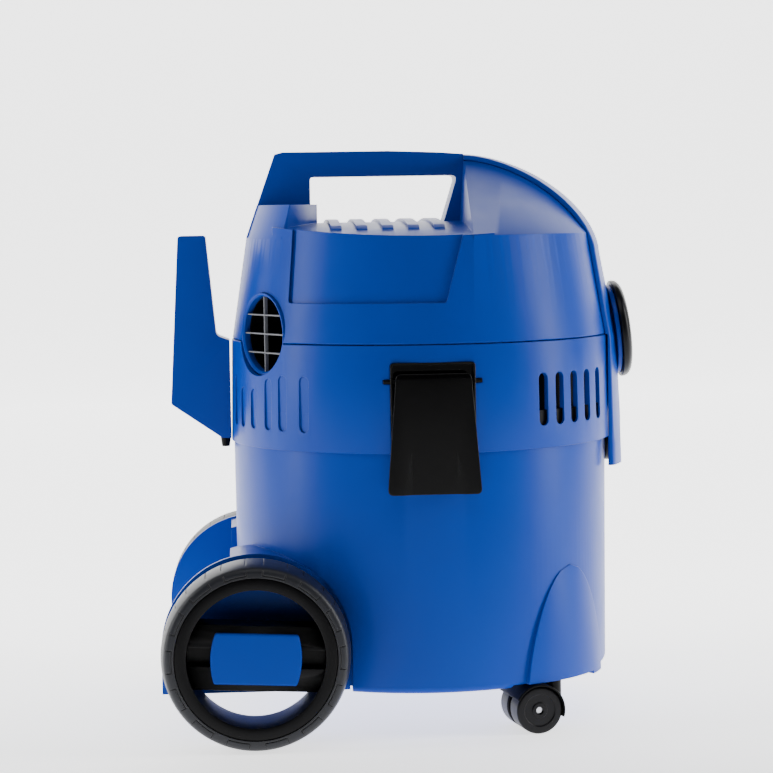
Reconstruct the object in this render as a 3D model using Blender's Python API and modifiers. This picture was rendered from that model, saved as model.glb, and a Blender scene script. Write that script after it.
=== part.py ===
"""Compact wet-and-dry shop vacuum, built as separate pieces on their joints.

Metres, +Z up.  The pieces are laid out about the tub's axis, with +X to the front (the knob's side),
-Y to the latch side called right and the floor at Z = 0.  An empty called vacuum_frame then moves the
whole object, so that the origin lies under the middle of its bounding box.
"""
import math

import bmesh
import bpy
from mathutils import Matrix, Vector

MM = 0.001

# ---- fits and walls ----
FIT = 0.3 * MM                    # gap between pieces that touch
SLACK = 0.4 * MM                  # gap between large shells
RUNNING = 0.6 * MM                # gap beside a piece that turns
WALL = 2.6 * MM
THIN_WALL = 2.0 * MM

# ---- tub ----
TUB_RADIUS = 143.6 * MM           # outside, just below the head
TUB_DRAFT = 0.9 * MM              # how much narrower the tub is at its foot
TUB_FOOT_Z = 35.0 * MM
TUB_FOOT_ROUND = 5.0 * MM
TUB_FLOOR_RISE = 2.6 * MM         # the floor's underside above the foot rim
TUB_FLOOR = 3.0 * MM
BASE_DISC_RADIUS = 60.0 * MM
BASE_DISC_DROP = 3.6 * MM         # flat disc under the floor's middle
RIM_STEP = 0.7 * MM               # the rim inside the head's skirt is this much smaller
RIM_HEIGHT = 20.0 * MM            # rim above the skirt's lower edge

# ---- head ----
SKIRT_Z = 210.0 * MM              # lower edge of the head
SKIRT_STANDOFF = 1.8 * MM         # skirt outside, beyond the tub
STEP_Z = 288.0 * MM               # parting line between head base and head cover
STEP_INSET = 1.5 * MM             # the head base narrows this much up to the parting line
COVER_INSET = 0.5 * MM            # the cover stands back from the head base
COVER_TAPER = 0.157               # run over rise of the cover's flank
DECK_Z = 365.5 * MM               # crease where the flank ends
DECK_CROWN = 10.5 * MM            # the deck's middle above its edge
COVER_WALL = 4.6 * MM
PANEL_DEPTH = 2.3 * MM
PANEL_Z = 318.0 * MM
FRONT_STRETCH = 0.02              # the head is slightly longer to the front than round
LAP = 1.5 * MM                    # a joined shape reaches this far inside its neighbour
LIP = 0.12 * MM                   # and stands this proud of it, so that no two faces coincide

# ---- handle ----
HANDLE_TOP_Z = 430.0 * MM
HANDLE_BAR = 19.0 * MM
HANDLE_HALF_WIDTH = 17.0 * MM
HANDLE_ROUND = 4.0 * MM
GRIP_REAR_INSET = 61.6 * MM       # rear of the grip opening ahead of the tub's rear
GRIP_FRONT_X = 31.0 * MM
GRIP_SLOPE = 10.0 * MM            # the front post leans this much
REAR_BLOCK_Z = 390.0 * MM
REAR_BLOCK_HALF_ANGLE = 36.5      # degrees either side of the rear
REAR_LEAN = 0.35                  # run over rise of the rear above the deck
CORNER_INSET = 1.3                # how much further round the block's inside is drawn in at its corners
CROWN_X = 36.0 * MM               # where the crown begins behind the fascia
CROWN_HALF_ANGLE = 77.0
RIB_COUNT = 5
RIB_FIRST_X = -65.5 * MM
RIB_PITCH = 19.0 * MM
RIB_WIDTH = 8.0 * MM
RIB_HALF_LENGTH = 95.0 * MM
RIB_HEIGHT = 2.4 * MM

# ---- fascia and knob ----
FASCIA_HALF_WIDTH = 45.0 * MM
FASCIA_NECK_HALF_WIDTH = 18.0 * MM
FASCIA_SHOULDER_Z = 351.0 * MM
FASCIA_DROP = 22.0 * MM           # the lip hangs this far below the skirt
FASCIA_PROUD_TOP = 4.7 * MM
FASCIA_PROUD_FOOT = 9.8 * MM
FASCIA_SIDE = 4.2 * MM
FASCIA_TOP_DROP = 3.0 * MM        # the fascia starts this far below the handle's top
FASCIA_NECK_DROP = 1.2 * MM
FASCIA_CURVE = 1.7                # exponent of the superellipse over the crown
KNOB_RADIUS = 37.5 * MM
KNOB_DEPTH = 9.0 * MM
KNOB_Z = 290.0 * MM
KNOB_TILT = math.radians(6.5)
SPINDLE_RADIUS = 4.0 * MM

# ---- louvres ----
FRONT_LOUVRE_ANGLES = (28.0, 35.5, 42.5, 49.0, 55.5)
LOUVRE_WIDTH = 8.6 * MM
LOUVRE_LOW_Z = 226.4 * MM
LOUVRE_HIGH_Z = 265.0 * MM
REAR_LOUVRE_TOPS = ((129.5, 265.0), (138.0, 265.0), (144.5, 262.0), (152.5, 253.6), (160.0, 254.0),
                    (167.0, 262.0))
REAR_LOUVRE_DEPTH = 1.1 * MM

# ---- latches ----
LATCH_PIVOT_Z = 262.0 * MM
LATCH_PIVOT_INSET = 4.4 * MM      # pivot inside the skirt's outer face
LATCH_TOP_Z = 268.0 * MM
LATCH_FOOT_Z = 181.0 * MM
LATCH_TOP_WIDTH = 54.0 * MM
LATCH_FOOT_WIDTH = 68.0 * MM
LATCH_PLATE = 3.6 * MM
LATCH_RECESS_WIDTH = 61.5 * MM
LATCH_RECESS_Z = 275.6 * MM
LATCH_RECESS_DEPTH = 12.5 * MM
LATCH_PIN_RADIUS = 1.6 * MM
POCKET_COVER = 0.6 * MM           # shell left outside the corners of the recess's liner
KEEPER_Z = 196.0 * MM
KEEPER_HEIGHT = 4.0 * MM
KEEPER_PROUD = 0.8 * MM

# ---- large wheels ----
WHEEL_RADIUS = 68.2 * MM
WHEEL_SETBACK = 13.2 * MM         # axle ahead of the tub's rearmost line
WHEEL_STANDOFF = 23.4 * MM        # outer face of the wheel beyond the tub's side
WHEEL_WIDTH = 48.0 * MM
TYRE_DEPTH = 9.9 * MM
TYRE_ROUND = 6.2 * MM
RIM_WALL = 8.6 * MM
BAR_HALF_HEIGHT = 23.5 * MM
CHANNEL_HALF_HEIGHT = 6.8 * MM
BAR_FACE_INSET = 6.0 * MM
BAR_THICKNESS = 26.0 * MM
CHANNEL_DEPTH = 13.0 * MM
WHEEL_TURN = math.radians(2.8)    # the bars lean down to the front
CAP_LENGTH = 65.0 * MM
CAP_HEIGHT = 36.5 * MM
CAP_BARREL = 3.0 * MM
AXLE_RADIUS = 5.0 * MM
HUB_RADIUS = 13.0 * MM
CLIP_RADIUS = 8.5 * MM
WHEEL_TO_TUB = 2.5 * MM           # side gap between the wheel and its housing
HOUSING_MARGIN = 1.8 * MM         # radial gap between the wheel and its housing
HOUSING_PLATE = 4.5 * MM
HOUSING_OVERHANG = 4.4 * MM       # the housing reaches this far behind the tub
AXLE_GRIP = 30.0 * MM             # axle length held in the housing

# ---- casters ----
CASTER_STEM_ANGLE = 49.8
CASTER_STEM_INSET = 7.4 * MM      # stem inside the tub's outer face
CASTER_WHEEL_RADIUS = 17.5 * MM
CASTER_TRAIL = 15.9 * MM
CASTER_YAW = math.radians(12.0)
CASTER_HALF_WIDTH = 21.5 * MM
CASTER_WEB = 2.6 * MM
CASTER_HOOD = 1.3 * MM
CASTER_STEM_RADIUS = 4.7 * MM
CASTER_STEM_LENGTH = 20.0 * MM
CASTER_AXLE_RADIUS = 2.6 * MM
DOME_ANGLE = 44.0
DOME_HALF_ANGLE = 18.0
DOME_PROUD = 5.5 * MM
DOME_TOP_Z = 121.0 * MM

# ---- inlet ----
INLET_BELOW_RIM = 1.0 * MM        # top of the inlet's flange under the tub's rim
INLET_BORE_RADIUS = 16.0 * MM
INLET_WALL = 2.2 * MM
INLET_LEDGE = 2.3 * MM            # the flange stands this far out round the tube
INLET_FACE_STANDOFF = 8.4 * MM    # flat face of the collar in front of the tub

# ---- rear hook ----
HOOK_HALF_WIDTH = 14.0 * MM
HOOK_REACH = 46.0 * MM            # outermost corner behind the skirt
HOOK_HORN_Z = 367.5 * MM
HOOK_HORN_OUT = 38.5 * MM
HOOK_HORN_THICK = 21.0 * MM
HOOK_CORNER_Z = 239.0 * MM
GLAND_RADIUS = 4.0 * MM

# ---- exhaust ----
PORT_ANGLE = -150.0
PORT_RADIUS = 30.5 * MM
PORT_Z = 294.5 * MM
DUCT_WALL = 2.4 * MM
GRILLE_BAR = 1.6 * MM

# ---- motor unit ----
SEAL_HEIGHT = 3.4 * MM
SEAL_WIDTH = 5.0 * MM
PLATE_THICKNESS = 3.6 * MM
EYE_RADIUS = 25.0 * MM
HOUSING_RADIUS = 66.0 * MM
HOUSING_HEIGHT = 100.0 * MM
IMPELLER_RADIUS = 56.0 * MM
IMPELLER_HEIGHT = 15.0 * MM
BLADE_COUNT = 8
MOTOR_RADIUS = 42.0 * MM
MOTOR_HEIGHT = 59.0 * MM
ARMATURE_RADIUS = 29.0 * MM
SHAFT_RADIUS = 4.0 * MM
MOUNT_RING = 3.4 * MM
BOSS_ANGLES = (66.0, 120.0, -66.0, -120.0)
BOSS_INSET = 10.6 * MM
BOSS_RADIUS = 8.5 * MM
SCREW_RADIUS = 2.0 * MM

# ---- float and filter ----
CAGE_RADIUS = 37.0 * MM
CAGE_HEIGHT = 56.0 * MM
FLOAT_RADIUS = 31.0 * MM
FLOAT_HEIGHT = 20.0 * MM
FILTER_RADIUS = 61.0 * MM
FILTER_PLEAT = 7.0 * MM
FILTER_PLEATS = 24
FILTER_BORE = 46.0 * MM
FILTER_LENGTH = 118.0 * MM
FILTER_CAP = 4.0 * MM

SHELL_SOLVER = "MANIFOLD"
SHELL_STEPS = 48
WHEEL_STEPS = 36
ROUND_STEPS = 24
SMALL_STEPS = 12

# ---- worked out from the sizes above ----
RIM_RADIUS = TUB_RADIUS - RIM_STEP
RIM_Z = SKIRT_Z + RIM_HEIGHT
TUB_INNER = RIM_RADIUS - WALL
FLOOR_UNDER_Z = TUB_FOOT_Z + TUB_FLOOR_RISE
FLOOR_Z = FLOOR_UNDER_Z + TUB_FLOOR
SKIRT_RADIUS = TUB_RADIUS + SKIRT_STANDOFF
SKIRT_INNER = RIM_RADIUS + SLACK
STEP_RADIUS = SKIRT_RADIUS - STEP_INSET
SEAL_Z = RIM_Z + FIT
PLATE_Z = SEAL_Z + SEAL_HEIGHT + FIT
PLATE_TOP_Z = PLATE_Z + PLATE_THICKNESS
BASE_INNER = SKIRT_INNER - WALL
COVER_RADIUS = STEP_RADIUS - COVER_INSET
DECK_RADIUS = COVER_RADIUS - COVER_TAPER * (DECK_Z - STEP_Z)
AXLE_X = -(TUB_RADIUS - WHEEL_SETBACK)
AXLE_Z = WHEEL_RADIUS
WHEEL_FACE_Y = TUB_RADIUS + WHEEL_STANDOFF
WHEEL_BACK_Y = WHEEL_FACE_Y - WHEEL_WIDTH
HOUSING_REAR_X = -(TUB_RADIUS + HOUSING_OVERHANG)
GRIP_REAR_X = -(TUB_RADIUS - GRIP_REAR_INSET)
INLET_FLANGE_RADIUS = INLET_BORE_RADIUS + INLET_WALL + INLET_LEDGE
INLET_Z = RIM_Z - INLET_BELOW_RIM - INLET_FLANGE_RADIUS
HOUSING_RADIUS_OUT = WHEEL_RADIUS + HOUSING_MARGIN
HOUSING_FACE_Y = WHEEL_BACK_Y - WHEEL_TO_TUB
KNOB_AXIS = Vector((math.cos(KNOB_TILT), 0, math.sin(KNOB_TILT)))
AXIS = {"X": Vector((1, 0, 0)), "Y": Vector((0, 1, 0)), "Z": Vector((0, 0, 1))}
SIDES = (("right", -1), ("left", 1))

BLUE = (0.004, 0.085, 0.46)
BLACK = (0.012, 0.012, 0.014)
GREY = (0.10, 0.10, 0.11)
STEEL = (0.60, 0.61, 0.63)
PAPER = (0.72, 0.70, 0.62)
COPPER = (0.55, 0.27, 0.12)


# ---------------------------------------------------------------- scene and materials

def clear_scene():
    for obj in list(bpy.data.objects):
        bpy.data.objects.remove(obj, do_unlink=True)


def collection(name):
    made = bpy.data.collections.new(name)
    bpy.context.scene.collection.children.link(made)
    return made


clear_scene()
PARTS = collection("shop_vacuum")
TOOLS = collection("cutters")
FRAME = bpy.data.objects.new("vacuum_frame", None)
PARTS.objects.link(FRAME)


def surface(name, color, roughness, metallic=0.0):
    made = bpy.data.materials.new(name)
    made.use_nodes = True
    shader = made.node_tree.nodes["Principled BSDF"]
    shader.inputs["Base Color"].default_value = (*color, 1.0)
    shader.inputs["Roughness"].default_value = roughness
    shader.inputs["Metallic"].default_value = metallic
    return made


# ---------------------------------------------------------------- general shapes

def as_object(name, mesh):
    obj = bpy.data.objects.new(name, mesh)
    TOOLS.objects.link(obj)
    obj.parent = FRAME
    obj.hide_render = True
    obj.display_type = "WIRE"
    return obj


def as_part(obj, name, color, roughness=0.4, metallic=0.0, origin=None):
    """Make a finished shape a named piece of the object, with its own material."""
    obj.name = name
    obj.data.name = name
    TOOLS.objects.unlink(obj)
    PARTS.objects.link(obj)
    obj.hide_render = False
    obj.display_type = "TEXTURED"
    obj.data.materials.clear()
    obj.data.materials.append(surface(name + "_material", color, roughness, metallic))
    obj.data.shade_smooth()
    obj.data.set_sharp_from_angle(angle=math.radians(32))
    if origin is not None:
        obj.data.transform(Matrix.Translation(-Vector(origin)))
        obj.location = origin
    return obj


def baked(obj):
    """Turn a curve, or a mesh with modifiers, into a plain closed mesh in place."""
    graph = bpy.context.evaluated_depsgraph_get()
    mesh = bpy.data.meshes.new_from_object(obj.evaluated_get(graph))
    shape = bmesh.new()
    shape.from_mesh(mesh)
    bmesh.ops.remove_doubles(shape, verts=shape.verts, dist=1e-6)
    shape.to_mesh(mesh)
    shape.free()
    made = as_object(obj.name, mesh)
    made.matrix_local = obj.matrix_local
    bpy.data.objects.remove(obj, do_unlink=True)
    return made


def placed(obj, matrix):
    """Move a plain mesh by changing its points, so that the object keeps its own frame."""
    obj.data.transform(matrix)
    return obj


def turned(name, profile, steps=SHELL_STEPS, closed=False):
    """A profile of (radius, height) pairs turned about Z.  A closed profile makes a ring."""
    mesh = bpy.data.meshes.new(name)
    count = len(profile)
    edges = [(i, i + 1) for i in range(count - 1)]
    if closed:
        edges.append((count - 1, 0))
    mesh.from_pydata([(radius, 0, height) for radius, height in profile], edges, [])
    obj = as_object(name, mesh)
    screw = obj.modifiers.new("turn", "SCREW")
    screw.axis = "Z"
    screw.angle = math.tau
    screw.steps = steps
    screw.render_steps = steps
    screw.use_merge_vertices = True
    screw.merge_threshold = 1e-5
    return baked(obj)


def ring(name, inner, outer, low, high, steps=ROUND_STEPS):
    profile = [(outer, high), (outer, low), (inner, low), (inner, high)]
    return turned(name, profile, steps, closed=True)


def prism(name, outline, low, high, along="Z"):
    """A flat outline given thickness from low to high along an axis.

    The outline's pairs are (X, Y) along Z, (X, Z) along Y and (Y, Z) along X.
    """
    data = bpy.data.curves.new(name, "CURVE")
    data.dimensions = "2D"
    data.fill_mode = "BOTH"
    data.extrude = (high - low) / 2
    spline = data.splines.new("POLY")
    spline.points.add(len(outline) - 1)
    for point, (across, up) in zip(spline.points, outline):
        point.co = (across, up, 0, 1)
    spline.use_cyclic_u = True
    obj = baked(as_object(name, data))
    middle = (low + high) / 2
    turns = {
        "Z": Matrix.Identity(4),
        "Y": Matrix(((1, 0, 0, 0), (0, 0, -1, 0), (0, 1, 0, 0), (0, 0, 0, 1))),
        "X": Matrix(((0, 0, 1, 0), (1, 0, 0, 0), (0, 1, 0, 0), (0, 0, 0, 1))),
    }
    return placed(obj, Matrix.Translation(AXIS[along] * middle) @ turns[along])


def box(name, low, high):
    shape = bmesh.new()
    bmesh.ops.create_cube(shape, size=1.0)
    size = [b - a for a, b in zip(low, high)]
    middle = [(a + b) / 2 for a, b in zip(low, high)]
    bmesh.ops.transform(shape, verts=shape.verts, matrix=Matrix.LocRotScale(middle, None, size))
    mesh = bpy.data.meshes.new(name)
    shape.to_mesh(mesh)
    shape.free()
    return as_object(name, mesh)


def rod(name, start, end, radius, steps=ROUND_STEPS, end_radius=None):
    start, end = Vector(start), Vector(end)
    span = end - start
    shape = bmesh.new()
    bmesh.ops.create_cone(shape, cap_ends=True, segments=steps, radius1=radius,
                          radius2=radius if end_radius is None else end_radius, depth=span.length)
    turn = span.to_track_quat("Z", "Y")
    bmesh.ops.transform(shape, verts=shape.verts,
                        matrix=Matrix.LocRotScale((start + end) / 2, turn, None))
    mesh = bpy.data.meshes.new(name)
    shape.to_mesh(mesh)
    shape.free()
    return as_object(name, mesh)


def hull(name, points):
    """The convex shape that wraps the points."""
    shape = bmesh.new()
    for point in points:
        shape.verts.new(point)
    made = bmesh.ops.convex_hull(shape, input=shape.verts)
    bmesh.ops.delete(shape, geom=[v for v in made["geom_interior"] if isinstance(v, bmesh.types.BMVert)],
                     context="VERTS")
    bmesh.ops.recalc_face_normals(shape, faces=shape.faces)
    mesh = bpy.data.meshes.new(name)
    shape.to_mesh(mesh)
    shape.free()
    return as_object(name, mesh)


def loft(name, sections):
    """A skin over closed sections that all have the same number of points, with flat ends."""
    shape = bmesh.new()
    rows = [[shape.verts.new(point) for point in section] for section in sections]
    count = len(rows[0])
    for row, following in zip(rows, rows[1:]):
        for i in range(count):
            j = (i + 1) % count
            shape.faces.new((row[i], row[j], following[j], following[i]))
    shape.faces.new(rows[0])
    shape.faces.new(rows[-1])
    bmesh.ops.recalc_face_normals(shape, faces=shape.faces)
    mesh = bpy.data.meshes.new(name)
    shape.to_mesh(mesh)
    shape.free()
    return as_object(name, mesh)


def combine(obj, operation, others, solver="EXACT"):
    """Boolean steps.  The large shells need MANIFOLD, because EXACT leaves open edges on them."""
    for other in others:
        step = obj.modifiers.new(operation.lower(), "BOOLEAN")
        step.operation = operation
        step.object = other
        step.solver = solver
    return obj


def join(obj, *others, solver="EXACT"):
    return combine(obj, "UNION", others, solver)


def cut(obj, *others, solver="EXACT"):
    return combine(obj, "DIFFERENCE", others, solver)


def rounded(obj, width, segments=2, angle=35.0):
    bevel = obj.modifiers.new("edge", "BEVEL")
    bevel.width = width
    bevel.segments = segments
    bevel.limit_method = "ANGLE"
    bevel.angle_limit = math.radians(angle)
    return baked(obj)


def stretched_front(obj):
    """Lengthen the half of a head shell that lies ahead of the tub's axis."""
    obj = baked(obj)
    for vertex in obj.data.vertices:
        if vertex.co.x > 0:
            vertex.co.x *= 1 + FRONT_STRETCH
    return obj


def at_angle(radius, degrees, height):
    angle = math.radians(degrees)
    return Vector((radius * math.cos(angle), radius * math.sin(angle), height))


def arc(centre, radius, first, last, steps):
    """Points of a round stretch, angles in degrees."""
    points = []
    for i in range(steps + 1):
        angle = math.radians(first + (last - first) * i / steps)
        points.append((centre[0] + radius * math.cos(angle), centre[1] + radius * math.sin(angle)))
    return points


def head_radius(height):
    """Outside radius of the head at a height, before the front is lengthened."""
    if height <= SKIRT_Z:
        return SKIRT_RADIUS
    if height <= STEP_Z:
        return SKIRT_RADIUS - STEP_INSET * (height - SKIRT_Z) / (STEP_Z - SKIRT_Z)
    return COVER_RADIUS - COVER_TAPER * (height - STEP_Z)


def head_front_x(across, height):
    radius = head_radius(height)
    return math.sqrt(radius ** 2 - across ** 2) * (1 + FRONT_STRETCH)


# ---------------------------------------------------------------- tub

def housing_outline(radius, rear_x=None, foot_z=TUB_FOOT_Z):
    """Round top over the axle and straight sides down to the foot, as (X, Z)."""
    top = arc((AXLE_X, AXLE_Z), radius, 0, 180, 20)
    points = [(AXLE_X + radius, foot_z)] + top + [(AXLE_X - radius, foot_z)]
    if rear_x is None:
        return points
    kept = [point for point in points if point[0] > rear_x]
    height = AXLE_Z + math.sqrt(radius ** 2 - (rear_x - AXLE_X) ** 2)
    return kept + [(rear_x, height), (rear_x, foot_z)]


def caster_stem(side):
    return at_angle(TUB_RADIUS - CASTER_STEM_INSET, side * CASTER_STEM_ANGLE, 0)


def dome(side):
    """Pointed bulge over a caster: narrower and flatter towards its tip."""
    points = []
    levels = 5
    for level in range(levels + 1):
        rise = level / levels
        height = TUB_FOOT_Z + (DOME_TOP_Z - TUB_FOOT_Z) * rise
        half = DOME_HALF_ANGLE * math.sqrt(max(0.0, 1 - rise ** 1.5))
        proud = DOME_PROUD * (1 - rise ** 2) + 0.2 * MM
        for share in (-1, -0.5, 0, 0.5, 1):
            bulge = proud * (1 - 0.55 * share ** 2)
            points.append(at_angle(TUB_RADIUS + bulge, side * DOME_ANGLE + half * share, height))
        for share in (-1, 1):
            points.append(at_angle(TUB_INNER, side * DOME_ANGLE + half * share, height))
    return hull("dome", points)


def build_container():
    foot = TUB_RADIUS - TUB_DRAFT
    edge = arc((foot - TUB_FOOT_ROUND, TUB_FOOT_Z + TUB_FOOT_ROUND), TUB_FOOT_ROUND, 0, -90, 3)
    outer = [(0, RIM_Z), (RIM_RADIUS, RIM_Z), (RIM_RADIUS, SKIRT_Z + WALL), (TUB_RADIUS, SKIRT_Z - WALL)]
    outer += edge
    outer += [(foot - 9 * MM, TUB_FOOT_Z), (foot - 10 * MM, FLOOR_UNDER_Z)]
    outer += [(BASE_DISC_RADIUS + 2 * MM, FLOOR_UNDER_Z)]
    outer += [(BASE_DISC_RADIUS, FLOOR_UNDER_Z - BASE_DISC_DROP), (0, FLOOR_UNDER_Z - BASE_DISC_DROP)]
    tub = turned("tub", outer)

    inside = [(0, RIM_Z + WALL), (TUB_INNER, RIM_Z + WALL), (TUB_INNER - TUB_DRAFT, FLOOR_Z + 3 * MM),
              (TUB_INNER - TUB_DRAFT - 3 * MM, FLOOR_Z), (0, FLOOR_Z)]
    cavity = turned("tub_inside", inside)

    for name, side in SIDES:
        near, far = sorted((side * (HOUSING_FACE_Y - HOUSING_PLATE), side * HOUSING_FACE_Y))
        plate = prism("housing_plate", housing_outline(WHEEL_RADIUS + 0.4 * MM), near, far, "Y")
        near, far = sorted((side * 0.4 * TUB_RADIUS, side * (HOUSING_FACE_Y - HOUSING_PLATE / 2)))
        body = prism("housing_body", housing_outline(WHEEL_RADIUS - 1 * MM, HOUSING_REAR_X), near, far, "Y")
        join(tub, plate, body, dome(side), solver=SHELL_SOLVER)

        near, far = sorted((side * HOUSING_FACE_Y, side * (TUB_RADIUS + WHEEL_WIDTH)))
        low_outline = housing_outline(HOUSING_RADIUS_OUT, foot_z=0)
        pocket = prism("wheel_pocket", low_outline, near, far, "Y")
        near = side * (HOUSING_FACE_Y - WALL)
        near, far = sorted((near, far if side > 0 else side * (TUB_RADIUS + WHEEL_WIDTH)))
        spare = prism("pocket_wall", housing_outline(HOUSING_RADIUS_OUT + WALL, foot_z=0), near, far, "Y")
        stem = caster_stem(side)
        socket_top = FLOOR_UNDER_Z + CASTER_STEM_LENGTH + 2 * WALL
        socket = rod("stem_socket", (stem.x, stem.y, 0), (stem.x, stem.y, socket_top),
                     CASTER_STEM_RADIUS + 2 * WALL, ROUND_STEPS)
        cut(cavity, spare, socket, solver=SHELL_SOLVER)
        boss = rod("stem_boss", (stem.x, stem.y, FLOOR_UNDER_Z + WALL / 2),
                   (stem.x, stem.y, socket_top - WALL / 2), CASTER_STEM_RADIUS + WALL, ROUND_STEPS)
        keeper_low = KEEPER_Z - KEEPER_HEIGHT / 2
        keeper = box("keeper", (-20 * MM, min(side * TUB_INNER, side * (TUB_RADIUS + KEEPER_PROUD)),
                                keeper_low),
                     (20 * MM, max(side * TUB_INNER, side * (TUB_RADIUS + KEEPER_PROUD)),
                      keeper_low + KEEPER_HEIGHT))
        join(tub, boss, keeper, solver=SHELL_SOLVER)
        cut(tub, pocket, solver=SHELL_SOLVER)

    cut(tub, cavity, solver=SHELL_SOLVER)
    for name, side in SIDES:
        stem = caster_stem(side)
        sweep = CASTER_TRAIL + CASTER_WHEEL_RADIUS + CASTER_HOOD + 6 * MM
        relief = rod("caster_relief", (stem.x, stem.y, 0), (stem.x, stem.y, FLOOR_UNDER_Z - 0.1 * MM),
                     sweep,
                     ROUND_STEPS)
        bore = rod("stem_bore", (stem.x, stem.y, 0),
                   (stem.x, stem.y, FLOOR_UNDER_Z + CASTER_STEM_LENGTH + FIT),
                   CASTER_STEM_RADIUS + FIT, SMALL_STEPS)
        axle_bore = rod("axle_bore", (AXLE_X, side * (HOUSING_FACE_Y - AXLE_GRIP - FIT), AXLE_Z),
                        (AXLE_X, side * (HOUSING_FACE_Y + WALL), AXLE_Z), AXLE_RADIUS + FIT, SMALL_STEPS)
        cut(tub, relief, bore, axle_bore, solver=SHELL_SOLVER)
    inlet = rod("inlet_bore", (TUB_INNER - 4 * WALL, 0, INLET_Z), (TUB_RADIUS + 4 * WALL, 0, INLET_Z),
                INLET_BORE_RADIUS + INLET_WALL + FIT, ROUND_STEPS)
    cut(tub, inlet, solver=SHELL_SOLVER)
    as_part(tub, "container", BLUE, 0.38)


def along_x(obj, start_x, height):
    """Lay a shape that was turned about Z along X, its Z = 0 at start_x."""
    return placed(obj, Matrix.Translation((start_x, 0, height)) @ Matrix.Rotation(math.pi / 2, 4, "Y"))


def build_inlet():
    tube = INLET_BORE_RADIUS + INLET_WALL
    face = TUB_RADIUS + INLET_FACE_STANDOFF
    back = TUB_RADIUS + FIT
    nut_x = math.sqrt(TUB_INNER ** 2 - INLET_FLANGE_RADIUS ** 2) - SLACK
    tail = nut_x - 7 * MM
    length = face - tail
    flange = face - back
    profile = [(INLET_FLANGE_RADIUS, length), (INLET_FLANGE_RADIUS, length - flange),
               (tube, length - flange),
               (tube, 0), (INLET_BORE_RADIUS, 0), (INLET_BORE_RADIUS, length)]
    collar = along_x(turned("inlet", profile, ROUND_STEPS, closed=True), tail, INLET_Z)
    as_part(collar, "inlet_collar", BLACK, 0.42)
    nut = ring("nut", tube + FIT, INLET_FLANGE_RADIUS, 0, 5 * MM, ROUND_STEPS)
    as_part(along_x(nut, nut_x - 5 * MM, INLET_Z), "inlet_nut", BLACK, 0.5)


# ---------------------------------------------------------------- large wheels

def along_y(obj, side, turn=0.0):
    """Lay a shape that was turned about Z on a wheel's axle, with its Z pointing away from the tub."""
    lay = Matrix.Rotation(-side * math.pi / 2, 4, "X")
    lean = Matrix.Rotation(turn, 4, "Y")
    return placed(obj, Matrix.Translation((AXLE_X, 0, AXLE_Z)) @ lean @ lay)


def cap_outline(length, height, barrel):
    """Rectangle whose two short ends bow outwards."""
    half, rise = length / 2, height / 2
    radius = (rise ** 2 + barrel ** 2) / (2 * barrel)
    spread = math.degrees(math.asin(rise / radius))
    right = arc((half - radius, 0), radius, -spread, spread, 6)
    left = arc((radius - half, 0), radius, 180 - spread, 180 + spread, 6)
    return right + left


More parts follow.
